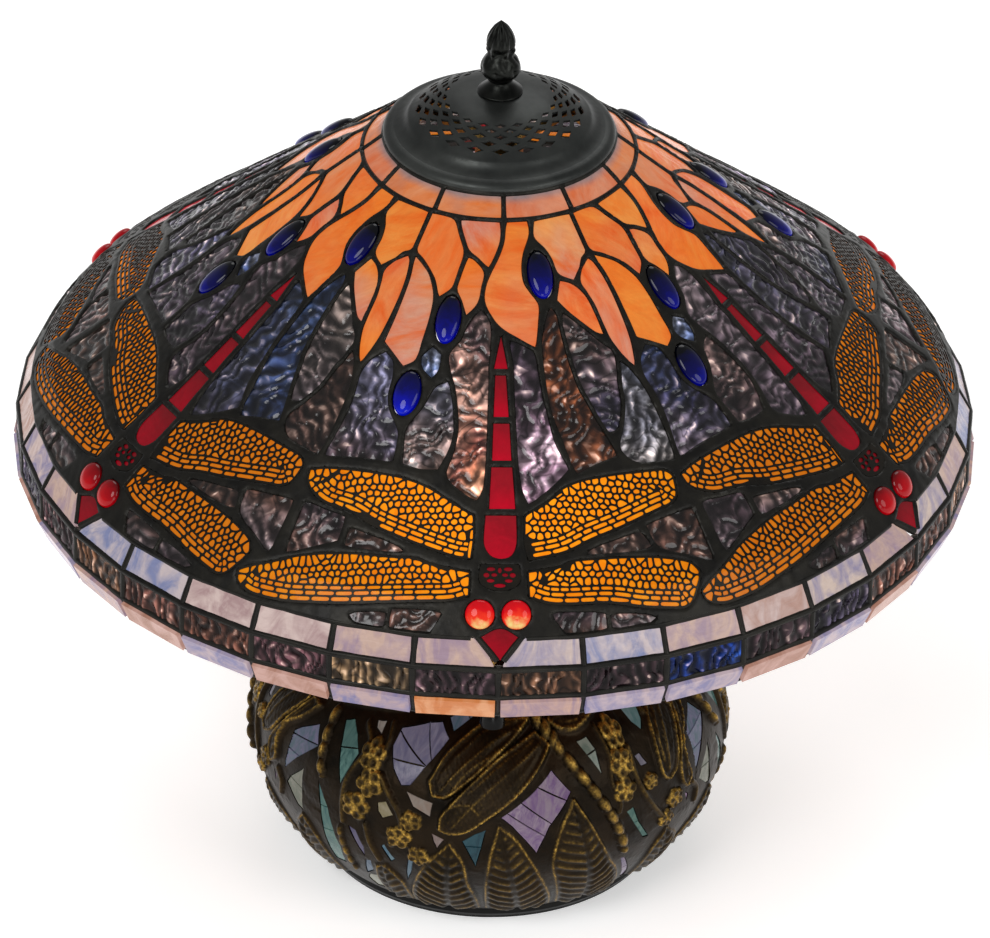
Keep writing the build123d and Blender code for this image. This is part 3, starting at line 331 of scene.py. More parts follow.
RAYS = [
    [(2.9, 127.5), (7.5, 132), (8, 150), (8.6, 160), (9.3, 172), (11, 184), (8, 190.5), (4.6, 197),
     (3.9, 190),
     (3.5, 178), (3.5, 140)],
    [(13.7, 114.5), (14.8, 120), (14.7, 135), (15.6, 150), (16.9, 157), (18.2, 168), (19.6, 180.5),
     (16, 182.5),
     (13, 185.5), (12.5, 182), (11.7, 172), (10.4, 158), (10.2, 145), (10.5, 130), (11.7, 122)],
    [(16.7, 117), (20, 123), (23, 131.5), (25.4, 137.5), (25.2, 145), (24.1, 150), (23.3, 160), (21.3, 169),
     (20.1, 170), (18.9, 163), (17.7, 152), (17, 142), (16.4, 130), (16, 122)],
    [(26.8, 142.5), (28, 148), (29, 155), (29.5, 165), (29.5, 180), (29.2, 187.5), (27, 186.5), (24, 185.5),
     (22.4, 183), (21.5, 178), (23.2, 170), (24.7, 162), (25.8, 152)],
    [(-25.8, 139), (-24, 141.5), (-23, 148), (-22.2, 157), (-20.2, 165.5), (-18.6, 172), (-18.2, 183),
     (-22, 183.5),
     (-26, 185), (-29, 187), (-28.2, 170), (-28.2, 160), (-28.8, 150), (-28, 144)],
    [(-11, 147), (-10, 153), (-9.3, 160), (-8.8, 168), (-9.2, 175), (-10.4, 183.5), (-13, 184),
     (-15.8, 183),
     (-16, 178), (-16.5, 170), (-15.8, 165), (-14, 157), (-12.8, 150)],
    [(-5, 114.5), (-3.2, 117.5), (-2.8, 123), (-2.8, 135), (-2.6, 165), (-2.6, 180), (-2.9, 190),
     (-3.6, 195.5),
     (-5, 193.5), (-7.6, 188.5), (-8.2, 185), (-7.5, 178), (-7, 168), (-7.5, 158), (-8.6, 148),
     (-10.2, 140),
     (-10.8, 134), (-8.8, 128), (-7.5, 121)]]
WINGS = [
    [(-4, 203.5), (-6, 200.5), (-9, 196), (-12, 192.5), (-16, 190.5), (-20, 190.5), (-24, 191.5),
     (-28, 193.5),
     (-30.4, 196), (-30, 200), (-28.5, 204), (-26, 207), (-22, 208), (-18, 212), (-14, 215), (-10, 218),
     (-6, 221), (-4, 221.5), (-3.8, 213)],
    [(4, 203.5), (5.5, 201), (8, 197), (10, 193), (13, 190.5), (17, 189.8), (20, 190), (24, 191),
     (26.5, 192),
     (27.7, 194.5), (27.7, 198), (27.2, 203), (26, 206), (24, 207), (21, 209), (17, 212), (13, 215),
     (9, 219.5),
     (4.2, 221.8), (3.8, 215)],
    [(-4, 228), (-6, 227.3), (-9, 226), (-11, 224.2), (-15, 225), (-20, 226.5), (-24, 229.5), (-27, 233),
     (-29.5, 237.5), (-32, 241.5), (-34, 244.5), (-33.5, 247.5), (-31.5, 249.7), (-27, 249), (-23, 247),
     (-19, 245), (-14, 242.5), (-9, 240.7), (-6, 239.8), (-4, 237.5)],
    [(4, 228), (8, 226.5), (10, 224.5), (14, 224.7), (20, 227), (23, 229.5), (25.5, 233), (26.3, 237),
     (25.8, 241),
     (25, 244.5), (23.5, 247.7), (21.5, 247), (18, 245), (14, 242.2), (9, 241.3), (6, 240.5), (4, 238)]]
BODY = [
    [(-1.2, 139), (0.3, 125), (1.7, 139)],
    [(-0.9, 142), (1.3, 142), (1.7, 160), (-1.1, 160)],
    [(-1.1, 163), (1.8, 163), (2, 179), (-1.2, 179)],
    [(-1.3, 182), (2.1, 182), (2.4, 200), (-1.5, 200)],
    [(-2, 203), (2.5, 203), (2.4, 215), (1.7, 220), (0.3, 221.5), (-1.2, 220), (-2.1, 215)],
    [(-2.4, 252), (0.2, 248.8), (2.6, 252), (0.2, 258.8)]]
HEAD = [(-2.4, 224.5), (2.6, 224.5), (2.8, 230), (2.2, 233.5), (0.2, 235.5), (-2, 233.5), (-2.6, 230)]
EYES = [(-2.35, 244.3), (2.15, 244.3)]
EYE_R = 7.7
GROUND = [
    [(12.3, 221), (17, 218), (20, 216.5), (20.8, 221.5), (17, 221.8)],
    [(21.8, 214), (28.6, 211.5), (28.6, 233), (26.6, 229), (22.7, 222.5)],
    [(-28.8, 210.5), (-22.9, 212), (-22.9, 221), (-26, 226), (-28.6, 231)],
    [(-21, 216.5), (-13.5, 221), (-17, 221.8), (-21, 222)],
    [(7, 245), (13, 246.3), (13, 250), (8.3, 250)],
    [(14, 247), (17, 248.2), (19, 249.6), (14, 250)],
    [(-13, 245.5), (-7.5, 245), (-8.5, 250), (-13, 250)],
    [(-18, 249), (-14.2, 247), (-14.2, 250), (-17, 250)]]
BRICK_SEAM, BRICK_R = 1.5, (63.4, 72.4)


def oval(phi, r, half_phi, half_r, sides=28):
    steps = [2 * pi * k / sides for k in range(sides)]
    return [(phi + half_phi * sin(a), r + half_r * cos(a)) for a in steps]


def bricks():
    """Two crown bricks per sector."""
    outlines = []
    for k in (-1, 0):
        start = BRICK_SEAM + 30 * k + 1.4
        angles = [start + 27.2 * i / 6 for i in range(7)]
        outlines.append([(a, BRICK_R[0]) for a in angles] + [(a, BRICK_R[1]) for a in reversed(angles)])
    return outlines


KINDS = {"crown_bricks": bricks(), "crown_petals": PETALS, "petal_leaves": [SMALL_LEAF],
         "ripple_rays": RAYS,
         "wing_glass": WINGS, "dragonfly_bodies": BODY, "dragonfly_heads": [HEAD], "ground_glass": GROUND,
         "cabochons": [oval(*c) for c in CABOCHONS],
         "eye_jewels": [oval(phi, r, EYE_R / radians(r), EYE_R * COS_KNEE) for phi, r in EYES]}
STEP = 1.7                       # spacing of points along glass edges
GRID = 1.45                      # spacing of points inside glass and lead
REACH = 36                       # half the azimuth span that one sector's mesh is cut from
BEAD_H = 1.25                    # height of the solder bead
BEAD_W = 1.6                     # distance from the glass at which the bead is full
# How far each kind of glass may be let out into the lead round it.
GROW = {"crown_petals": 0.7, "ripple_rays": 1.2, "petal_leaves": 0.8, "wing_glass": 0.9,
        "ground_glass": 1.6,
        "crown_bricks": 0.3}
LEAD_GAP = 2.7                   # least lead left between two glasses that were grown


def grown(loops, owners):
    """Glass outlines let out until the lead between them is as thin as it should be."""
    result = []
    for i, loop in enumerate(loops):
        room = np.full(len(loop), 99.0)
        for j, other in enumerate(loops):
            near = near_loop(loop, other, 6)
            if j != i and near.any():
                room[near] = np.minimum(room[near], loop_distance(loop[near], other))
        _, r = from_flat(loop)
        room = np.minimum(room, (r - CROWN_R) * 2)
        give = np.clip((room - LEAD_GAP) / 2, 0, GROW.get(owners[i][0], 0.0))
        for _ in range(3):
            give = np.minimum(give, (np.roll(give, 1) + give + np.roll(give, -1)) / 3)
        give = give[:, None]
        result.append(loop + (shifted(loop, 1.0) - loop) * give)
    return result


def sector_grid(r0, r1):
    """A staggered grid over one sector's reach, the same after every sector turn."""
    rows, rho = [], np.interp(r0, RADII, SLANTS) + 0.7
    row = 0
    while rho < np.interp(r1, RADII, SLANTS) - 0.4:
        r = np.interp(rho, SLANTS, RADII)
        count = max(8, round(radians(SECTOR) * r / GRID))
        rng = np.random.default_rng(row)
        jitter = rng.uniform(-0.22, 0.22, (count, 2)) * GRID
        for k in range(round(-REACH / SECTOR * count), round(REACH / SECTOR * count) + 1):
            dphi, drho = jitter[k % count]
            phi = (k + row % 2 / 2) * SECTOR / count + math.degrees(dphi / r)
            rows.append((phi, np.interp(rho + drho, SLANTS, RADII)))
        rho += GRID * 0.87
        row += 1
    return to_flat(rows)


def arc(r):
    """An open run of points along a circle of the shade, over the sector's reach."""
    count = round(radians(SECTOR) * r / STEP)
    last = round(REACH / SECTOR * count)
    return to_flat([(SECTOR * k / count, r) for k in range(-last, last + 1)])


def sector_layout():
    """The triangulated sector: flat points, triangles, and which glass each triangle is."""
    loops, owners = [], []
    for kind, outlines in KINDS.items():
        for index, outline in enumerate(outlines):
            for shift in (-SECTOR, 0, SECTOR):
                moved = [(phi + shift, r) for phi, r in outline]
                if min(abs(phi) for phi, _ in moved) < REACH:
                    loops.append(rounded(to_flat(moved), STEP))
                    owners.append((kind, index, shift))
    loops = grown(loops, owners)
    border = np.concatenate([arc(CROWN_R), arc(BORDER_R - 0.5)[::-1]])
    extra = sector_grid(CROWN_R, BORDER_R - 0.5)
    for loop in loops:
        extra = cleared(extra, loop, 2, 0.75)
    collars = []
    for i, loop in enumerate(loops):
        ring = shifted(loop, 0.42)
        for other in loops[:i] + loops[i + 1:]:
            ring = cleared(ring, other, 1, 0.6, keep_inside=False)
        phi, r = from_flat(ring)
        collars.append(ring[(np.abs(phi) < radians(REACH)) & (r > CROWN_R + 0.4) & (r < BORDER_R - 0.9)])
    flat, tris = triangulated(loops + [border], np.concatenate([extra] + collars))
    centre = flat[tris].mean(1)
    phi, r = from_flat(centre)
    owner = np.full(len(tris), -1)
    for i, loop in enumerate(loops):
        owner[hits(centre, loop)] = i
    return flat, tris, phi, r, owner, loops, owners


FLAT, TRIS, TRI_PHI, TRI_R, OWNER, LOOPS, OWNERS = sector_layout()


def edge_distance(points, loops):
    """Distance from each point to the nearest of several loops."""
    best = np.full(len(points), 99.0)
    for loop in loops:
        near = near_loop(points, loop, 4)
        if near.any():
            best[near] = np.minimum(best[near], loop_distance(points[near], loop))
    return best


def bead(distance):
    """Height of the solder at a distance from the glass."""
    q = np.clip(distance / BEAD_W, 0, 1)
    return BEAD_H * np.sqrt(1 - (1 - q) ** 2)


def repeated(top, bottom, tris, turns, cell):
    """A patch turned to each angle and closed, with the points shared at its joins merged within a cell.

    Also returns which turned point each merged point comes from.
    """
    tops = np.concatenate([spun(top, turn) for turn in turns])
    bottoms = np.concatenate([spun(bottom, turn) for turn in turns])
    faces = np.concatenate([tris + k * len(top) for k in range(len(turns))])
    _, first, packed = np.unique(np.round(tops / cell).astype(int), axis=0, return_index=True,
                                 return_inverse=True)
    faces = packed.ravel()[faces]
    good = (faces[:, 0] != faces[:, 1]) & (faces[:, 1] != faces[:, 2]) & (faces[:, 0] != faces[:, 2])
    return *closed(tops[first], bottoms[first], faces[good]), first


def make_lead(material):
    """The soldered lattice: a rounded bead between all the glass of the cone."""
    on_cone = (TRI_R > CROWN_R) & (TRI_R < BORDER_R - 0.5)
    mine = (OWNER < 0) & (np.abs(TRI_PHI) <= radians(SECTOR / 2)) & on_cone
    flat, tris, _ = subset(FLAT, TRIS[mine])
    height = bead(edge_distance(flat, LOOPS))
    height += np.where(height > 0.6, 0.16 * waves(to_cell(flat), 9.0, 3), 0)
    top, bottom = lift(flat, height), lift(flat, -GLASS_T - 0.7 * height)
    points, faces, _ = repeated(top, bottom, tris, range(0, 360, SECTOR), 0.04)
    return tri_mesh("shade_lead", points, faces, "shade", ["lead_lattice"], material=material)


def to_cell(flat):
    """Coordinates that repeat every sector, for noise that must match at the joins."""
    phi, r = from_flat(flat)
    return np.stack([np.sin(SECTORS * phi) * r / SECTORS, np.cos(SECTORS * phi) * r / SECTORS,
                     r / COS_WALL], 1)


# ---- light inside the shade ------------------------------------------------------
SIDES = ("front", "right", "left")               # the three sockets
BULBS = [np.mean(span(f"bulb_glass_{side}"), 0) for side in SIDES]


def glow(points, reach=74.0):
    """How strongly the bulbs light each point of the glass, 0 to about 1."""
    total = np.zeros(len(points))
    for bulb in BULBS:
        total += np.exp(-(np.linalg.norm(points - bulb, axis=1) / reach) ** 2)
    return total


# ---- glass colours ---------------------------------------------------------------
FRONT, RIGHT, LEFT = 0, 1, 5                     # sector numbers seen from the front
# Two tones of each ray from the crown end to the wing end: ((top, streak), (bottom, streak)).
FRONT_RAYS = [(("#2c2333", "#6d5a72"), ("#b98aa8", "#f2d6e4")),
              (("#5a2b16", "#a55c34"), ("#2d160f", "#b06a48")),
              (("#6b4a4a", "#b59488"), ("#2e3152", "#6a6a86")),
              (("#7884a8", "#b4b8cc"), ("#8f8a90", "#d0c6c0")),
              (("#8086b4", "#b8b8dc"), ("#2b2b55", "#8a6f66")),
              (("#5a6288", "#a8a8b8"), ("#6e6c74", "#d6a890")),
              (("#7c5a64", "#e2beb6"), ("#8a3f28", "#ffb890"))]
RIGHT_RAYS = [(("#5c4c62", "#a08e9e"), ("#3a2d3c", "#86707e")),
              (("#3a3f64", "#8c88a2"), ("#2c2748", "#7c6c7c")),
              (("#32304e", "#72708e"), ("#3a2e3e", "#84727e")),
              (("#40344c", "#83747f"), ("#322a3e", "#786a76")),
              (("#233c80", "#5c78b4"), ("#5a4c66", "#b0a0b0")),
              (("#5a4650", "#b08e8a"), ("#4c3c46", "#9a7e7c")),
              (("#8a7280", "#c8b4b8"), ("#6e5c74", "#b49cae"))]
LEFT_RAYS = [(("#314a84", "#7488b8"), ("#4a4668", "#8e88a0")),
             (("#23407f", "#5a78b4"), ("#2c3a6c", "#6a7cae")),
             (("#a58e86", "#dccabe"), ("#6f6270", "#b4a2a6")),
             (("#6e4a40", "#a88476"), ("#5c423e", "#94766c")),
             (("#4a3e4c", "#8e7e88"), ("#443a4a", "#7e7280")),
             (("#3c3450", "#7a7292"), ("#4a3c4c", "#8c7a86")),
             (("#5c4a54", "#a08a92"), ("#4c3e4e", "#8a7682"))]
DARK_RAYS = [("#3c3244", "#86788a"), ("#4a3a44", "#98828a"), ("#2c3050", "#70749c"), ("#5a463f", "#a08678"),
             ("#463c52", "#8c80a0"), ("#34303c", "#74707e")]
PETAL_TONES = [("#ee6a20", "#f6963e"), ("#f27c28", "#f8a652"), ("#e6602a", "#ec9462"),
               ("#f26420", "#ff9c54"),
               ("#e87a3c", "#dca07c"), ("#f06a22", "#f08c4a"), ("#e2683a", "#d8a08c"),
               ("#f2701c", "#fa9238")]
LAVENDER = [("#9088ac", "#dac2bc"), ("#ba9c9c", "#e4cec8"), ("#8c94bc", "#d8cacc"), ("#c29a8c", "#dec8c4"),
            ("#a49cb6", "#e2cec2"), ("#ae96a6", "#d6b8aa")]


def sector_tone(kind, index, sector):
    """The two tones at the crown end and the two at the rim end of one piece of glass."""
    rng = random.Random(f"{kind}{index}-{sector}")
    if kind == "ripple_rays":
        table = {FRONT: FRONT_RAYS, RIGHT: RIGHT_RAYS, LEFT: LEFT_RAYS}.get(sector)
        if table:
            return table[index]
        return rng.choice(DARK_RAYS), rng.choice(DARK_RAYS)
    if kind == "crown_petals":
        tone = PETAL_TONES[(index + sector * 3) % len(PETAL_TONES)]
        return tone, rng.choice(PETAL_TONES)
    if kind == "crown_bricks":
        return ("#8e8284", "#c09890"), rng.choice([("#ee7c34", "#f0a070"), ("#e87848", "#eda07c")])
    if kind == "wing_glass":
        # The front sector's wings get a brighter orange than the others: painted light from the front bulb.
        tone = ("#f47f06", "#ff9f14") if sector == FRONT else ("#e2760e", "#f08c1c")
        return tone, tone
    if kind in ("dragonfly_bodies", "dragonfly_heads"):
        return ("#8a101e", "#a01422"), ("#ba0020", "#d00026")
    if kind == "petal_leaves":
        return ("#3c5cae", "#cfd6ea"), ("#1c3f9c", "#7b9ad6")
    pairs = [("#6a5050", "#b09080"), ("#57424c", "#9c8690"), ("#7c6a70", "#bcaab0"), ("#5c3c34", "#9c7466")]
    return rng.choice(pairs), rng.choice(pairs)


# Painted glow of each kind of glass, standing in for the bulbs' light through it: everywhere, and added
# where a bulb is near.
LIT = {"ripple_rays": (0.34, 1.5), "crown_petals": (0.72, 0.32), "crown_bricks": (0.62, 0.25),
       "wing_glass": (0.62, 0.8), "dragonfly_bodies": (0.32, 0.56), "dragonfly_heads": (0.3, 0.4),
       "petal_leaves": (0.6, 1.0), "ground_glass": (0.36, 1.3)}
FADE = {"crown_bricks": 2.6}                     # how fast the crown end's tones give way, where it isn't 1
GRAIN = [0, 12, -14, 25, -30, 8, 62, 85]         # turns of the sheet under the cutter's pattern, degrees
# Height of the ridges on each kind of glass.
RIPPLE = {"ripple_rays": 0.65, "ground_glass": 0.55, "petal_leaves": 0.5, "crown_petals": 0.10,
          "crown_bricks": 0.08,
          "wing_glass": 0.06, "dragonfly_bodies": 0.05, "dragonfly_heads": 0.05}


def ripple(coords, seed):
    """Ridges that wander across a sheet of water glass: height about -1 to 1."""
    slow = waves(coords, 26, seed, 2)
    bands = np.sin(2 * pi * (coords[:, 1] / 7.4 + 0.8 * slow + 0.25 * waves(coords, 14, seed + 1, 1)))
    cross = np.sin(2 * pi * (coords[:, 0] / 8.0 + 0.8 * waves(coords, 21, seed + 2, 1)))
    return 0.75 * bands + 0.3 * cross


class Plates:
    """Closed plates of glass gathered into one piece, with the values that their material reads."""

    def __init__(self):
        self.parts, self.values = [], {}

    def add(self, front, back, tris, **values):
        """One plate; a value is one row for the plate or a row for each point of its front."""
        self.parts.append(closed(front, back, tris))
        for key, value in values.items():
            rows = np.asarray(value, float)
            if len(rows) != len(front):
                rows = np.tile(rows, (len(front), 1))
            self.values.setdefault(key, []).extend([rows, rows])

    def piece(self, name, body, kind, node, material, sharp=50):
        points, faces = joined(self.parts)
        values = {key: np.concatenate(rows) for key, rows in self.values.items()}
        return tri_mesh(name, points, faces, body, [node], values, sharp=sharp, material=material)


def make_glass(kind, material):
    """All the pieces of one kind of glass, as separate closed plates in one object."""
    plates = Plates()
    base, gain = LIT[kind]
    for i, (owner, index, shift) in enumerate(OWNERS):
        if owner != kind or shift != 0:
            continue
        flat, tris, _ = subset(FLAT, TRIS[OWNER == i])
        inner = np.clip(loop_distance(flat, LOOPS[i]) / 1.6, 0, 1)
        _, r = from_flat(flat)
        share = np.clip((r - r.min()) / max(np.ptp(r), 1e-6) * FADE.get(kind, 1.0), 0, 1)[:, None]
        for sector in range(SECTORS):
            seed = sector * 97 + index * 13 + len(kind)
            (a0, b0), (a1, b1) = sector_tone(kind, index, sector)
            turn = radians(random.Random(seed).choice(GRAIN))
            coords = flat @ np.array([[cos(turn), -sin(turn)], [sin(turn), cos(turn)]]) + (sector * 37.0,
                                                                                           index * 53.0)
            bump = ripple(coords, seed)
            height = RIPPLE[kind] * bump * inner - 0.12 * (1 - inner)
            top = spun(lift(flat, height), SECTOR * sector)
            bottom = spun(lift(flat, -GLASS_T + 0.5 * RIPPLE[kind] * inner * bump), SECTOR * sector)
            blend = np.clip(share + 0.25 * waves(flat, 30, seed + 5, 2)[:, None], 0, 1)
            first = colour(a0) * (1 - blend) + colour(a1) * blend
            second = colour(b0) * (1 - blend) + colour(b1) * blend
            coords = np.concatenate([coords, np.full((len(flat), 1), seed * 1.7)], 1)
            plates.add(top, bottom, tris, tone_a=first, tone_b=second, flow=coords,
                       lit=base + gain * glow(top),
                       relief=bump)
    return plates.piece(f"shade_{kind}", "shade", kind, kind, material)


def dome(phi, r, half_u, half_v, height, rings=12, sides=36):
    """A polished oval jewel set on the cone: flat-backed and domed."""
    centre = to_flat([(phi, r)])[0]
    down = centre / np.linalg.norm(centre)
    side = np.array([-down[1], down[0]])
    points = []
    for k in range(rings):
        q = cos(pi / 2 * k / rings)
        h = height * sin(pi / 2 * k / rings) ** 0.8
        steps = np.arange(sides) * 2 * pi / sides
        flat = centre + q * (np.outer(np.sin(steps) * half_u, side) + np.outer(np.cos(steps) * half_v,
                                                                               down))
        points.append(lift(flat, np.full(sides, h)))
    back = lift(centre + np.outer(np.sin(steps) * half_u, side) + np.outer(np.cos(steps) * half_v, down),
                np.full(sides, -GLASS_T))
    return swept([back] + points)


def make_jewels(name, kind, jewels, glow_low, front_glow, material):
    """Domed jewels round the shade, with a value that says how high on the dome a point is."""
    parts, rise, lit = [], [], []
    for sector in range(SECTORS):
        for phi, r, half_u, half_v, height in jewels:
            points, faces = dome(phi, r, half_u, half_v, height)
            points = spun(points, SECTOR * sector)
            parts.append((points, faces))
            centre = points.mean(0)[:2]
            rise.append((points[:, :2] - centre) @ (centre / np.linalg.norm(centre)) / half_v)
            lit.append(glow_low + glow(points) + front_glow * (sector == FRONT))
    points, faces = joined(parts)
    values = {"rise": np.concatenate(rise), "lit": np.concatenate(lit)}
    return tri_mesh(name, points, faces, "shade", [kind], values, sharp=60, material=material)


# ---- wing filigree ---------------------------------------------------------------
NET_BAR = 0.5                    # half the width of a bar of the net
BRICK_ROWS = [0.0, 3.1, 6.1, 8.9]                # distances from the lower edge between rows of bricks
BRICK_LONG = [9.0, 7.6, 6.4]
BEAD_PITCH = 3.9


def area_of(loop):
    return 0.5 * abs(np.sum(loop[:, 0] * np.roll(loop[:, 1], -1) - np.roll(loop[:, 0], -1) * loop[:, 1]))


def clipped(poly, point, normal):
    """The part of a convex polygon behind the line through point."""
    kept = []
    side = (poly - point) @ normal
    for i in range(len(poly)):
        j = (i + 1) % len(poly)
        if side[i] <= 0:
            kept.append(poly[i])
        if side[i] * side[j] < 0:
            kept.append(poly[i] + (poly[j] - poly[i]) * side[i] / (side[i] - side[j]))
    return np.array(kept) if len(kept) > 2 else None


def lower_side(loop, low_edge):
    """The run of a wing's outline between the two ends of its lower edge."""
    first, last = (int(np.argmin(np.linalg.norm(loop - p, axis=1))) for p in low_edge)
    one = loop[np.arange(first, last if last > first else last + len(loop)) % len(loop)]
    two = loop[np.arange(last, first if first > last else first + len(loop)) % len(loop)]
    chord = low_edge[1] - low_edge[0]
    bow = [np.abs((run - low_edge[0]) @ np.array([-chord[1], chord[0]])).max() for run in (one, two)]
    return one if bow[0] < bow[1] else two


def brick_rows(run, middle, rng):
    """Long rounded bricks in rows beside the lower edge."""
    along = np.concatenate([[0], np.cumsum(np.linalg.norm(np.diff(run, axis=0), axis=1))])

    def spot(s, away):
        here, ahead, behind = (np.array([np.interp(t, along, run[:, 0]), np.interp(t, along, run[:, 1])])
                               for t in (s, s + 2, s - 2))
        normal = np.array([behind[1] - ahead[1], ahead[0] - behind[0]])
        normal *= (1 if normal @ (middle - here) > 0 else -1) / np.linalg.norm(normal)
        return here + normal * away

    bricks = []
    for row, length in enumerate(BRICK_LONG):
        low, high = BRICK_ROWS[row] + NET_BAR, BRICK_ROWS[row + 1] - NET_BAR
        s = -length * rng.uniform(0, 1)
        while s < along[-1]:
            size = length * rng.uniform(0.6, 1.4)
            cuts = np.linspace(max(s + NET_BAR, 0), min(s + size - NET_BAR, along[-1]), 3)
            if cuts[-1] - cuts[0] > 1.5:
                bricks.append(np.array([spot(t, low) for t in cuts] + [spot(t, high) for t in cuts[::-1]]))
            s += size
    return bricks


def trimmed(poly, s, edge):
    """A cell cut at the wing's edge near it."""
    away = np.linalg.norm(edge - s, axis=1)
    for k in np.argsort(away)[:10]:
        tangent = edge[(k + 1) % len(edge)] - edge[k - 1]
        n = np.array([tangent[1], -tangent[0]]) / np.linalg.norm(tangent)
        n = n if n @ (edge[k] - s) > 0 else -n
        if poly is not None and (edge[k] - s) @ n < 9:
            poly = clipped(poly, edge[k], n)
    return poly


def bead_cell(seeds, i, edge, run, bar):
    """The region nearest one seed, drawn in by half a bar, above the bricks and inside the edge."""
    s = seeds[i]
    poly = s + np.array([[-9, -9], [9, -9], [9, 9], [-9, 9.0]])
    d = np.linalg.norm(seeds - s, axis=1)
    for j in np.argsort(d)[1:16]:
        n = (seeds[j] - s) / d[j]
        poly = clipped(poly, s + n * (d[j] / 2 - bar), n)
        if poly is None:
            return None
    near = np.argmin(np.linalg.norm(run - s, axis=1))
    if 0 < near < len(run) - 1:
        n = (run[near] - s) / np.linalg.norm(run[near] - s)
        poly = clipped(poly, run[near] - n * (BRICK_ROWS[-1] + bar), n)
    else:
        n = run[1] - run[0] if near == 0 else run[-2] - run[-1]
        n = n / np.linalg.norm(n)
        poly = clipped(poly, run[near] - n * bar, n)
    return poly if poly is None else trimmed(poly, s, edge)


def wing_cells(loop, low_edge, seed):
    """Rounded cells of a wing: long bricks by its lower edge, small beads above."""
    rng = np.random.default_rng(seed)
    edge = shifted(loop, -0.7)
    run = lower_side(edge, low_edge)
    found = []
    for brick in brick_rows(run, edge.mean(0), rng):
        centre = brick.mean(0)
        if in_loop(centre[None], edge)[0]:
            found.append(trimmed(brick, centre, edge))
    low, high = edge.min(0), edge.max(0)
    grid = [(x + BEAD_PITCH / 2 * (row % 2), y)
            for row, y in enumerate(np.arange(low[1], high[1], BEAD_PITCH * 0.87))
            for x in np.arange(low[0], high[0], BEAD_PITCH)]
    seeds = np.array(grid) + rng.uniform(-1.1, 1.1, (len(grid), 2))
    seeds = seeds[in_loop(seeds, edge)]
    away = np.linalg.norm(seeds[:, None] - run[None], axis=2)
    near = np.argmin(away, axis=1)
    beyond = (near == 0) | (near == len(run) - 1)
    seeds = seeds[(loop_distance(seeds, edge) > 0.9) & (beyond | (away.min(1) > BRICK_ROWS[-1] + 1.0))]
    cells = [bead_cell(seeds, i, edge, run, 0.0) for i in range(len(seeds))]
    seeds = np.array([s if c is None else 0.5 * s + 0.5 * c.mean(0) for s, c in zip(seeds, cells)])
    found += [bead_cell(seeds, i, edge, run, NET_BAR) for i in range(len(seeds))]
    cells = []
    for poly in found:
        if poly is None or area_of(poly) < max(1.4, 0.14 * (np.ptp(poly, axis=0) ** 2).sum()):
            continue
        for _ in range(2):
            ahead = np.roll(poly, -1, 0)
            poly = np.stack([poly * 0.77 + ahead * 0.23, poly * 0.23 + ahead * 0.77], 1).reshape(-1, 2)
        cells.append(poly)
    return cells


def net_solid(loop, holes, low, high):
    """A thin plate with holes, between two heights above the glass: (points, faces)."""
    flat, tris = triangulated([loop] + holes, np.zeros((0, 2)))
    centre = flat[tris].mean(1)
    keep = in_loop(centre, loop)
    for hole in holes:
        keep[hits(centre, hole)] = False
    flat, tris, _ = subset(flat, tris[keep])
    return closed(lift(flat, np.full(len(flat), high)), lift(flat, np.full(len(flat), low)), tris)


# Both ends of each wing's lower edge, (phi, radius).
WING_EDGES = [((-4, 221.5), (-29, 203)), ((4.2, 221.8), (27, 204)), ((-4, 238), (-33, 249)),
              ((4, 238.5), (24, 248))]


def make_wing_net(material):
    """The pierced metal over all the wings."""
    parts = []
    for index, edge in enumerate(WING_EDGES):
        loop = LOOPS[OWNERS.index(("wing_glass", index, 0))]
        cells = wing_cells(loop, to_flat(edge), 40 + index)
        parts += all_round(*net_solid(shifted(loop, 0.25), cells, 0.02, 0.75))
    points, faces = joined(parts)
    return tri_mesh("wing_net", points, faces, "shade", ["wing_filigree"], sharp=30,
                    material=material)


# Oval windows in the mask, (across, up, half width, half height), from the head's middle.
HEAD_WINDOWS = [(-4.6, 3.9, 2.3, 1.2), (4.4, 3.9, 2.3, 1.2), (-7.0, 0.6, 1.6, 1.4), (6.8, 0.6, 1.6, 1.4),
                (-2.9, 0.7, 1.6, 1.1), (2.8, 0.7, 1.6, 1.1), (-4.8, -2.5, 2.1, 1.1), (4.7, -2.5, 2.1, 1.1),
                (0, -5.2, 3.2, 1.2), (0, 3.2, 1.0, 1.6)]


def make_head_net(material):
    """The dark mask over each head, with small red windows."""
    loop = rounded(to_flat(HEAD), 1.2)
    centre = loop.mean(0)
    holes = []
    for x, y, half_x, half_y in HEAD_WINDOWS:
        steps = np.arange(10) * 2 * pi / 10
        hole = centre + np.stack([x + half_x * np.cos(steps), y + half_y * np.sin(steps)], 1)
        if in_loop(hole, loop).all():
            holes.append(hole)
    points, faces = joined(all_round(*net_solid(shifted(loop, 0.25), holes, 0.02, 0.9)))
    return tri_mesh("head_net", points, faces, "shade", ["head_filigree"], sharp=30,
                    material=material)


# ---- borders, rails and seams ----------------------------------------------------
def on_line(phi, band, share, out=0.0):
    """A point of a border band at a facet corner's azimuth, and the way out from it."""
    (r0, z0), (r1, z1) = BORDER_LINE[band], BORDER_LINE[band + 1]
    length = math.hypot(r1 - r0, z1 - z0)
    nr, nz = (z0 - z1) / length, (r1 - r0) / length
    r, z = r0 + (r1 - r0) * share + nr * out, z0 + (z1 - z0) * share + nz * out
    a = radians(phi)
    return np.array([r * sin(a), -r * cos(a), z]), np.array([nr * sin(a), -nr * cos(a), nz])


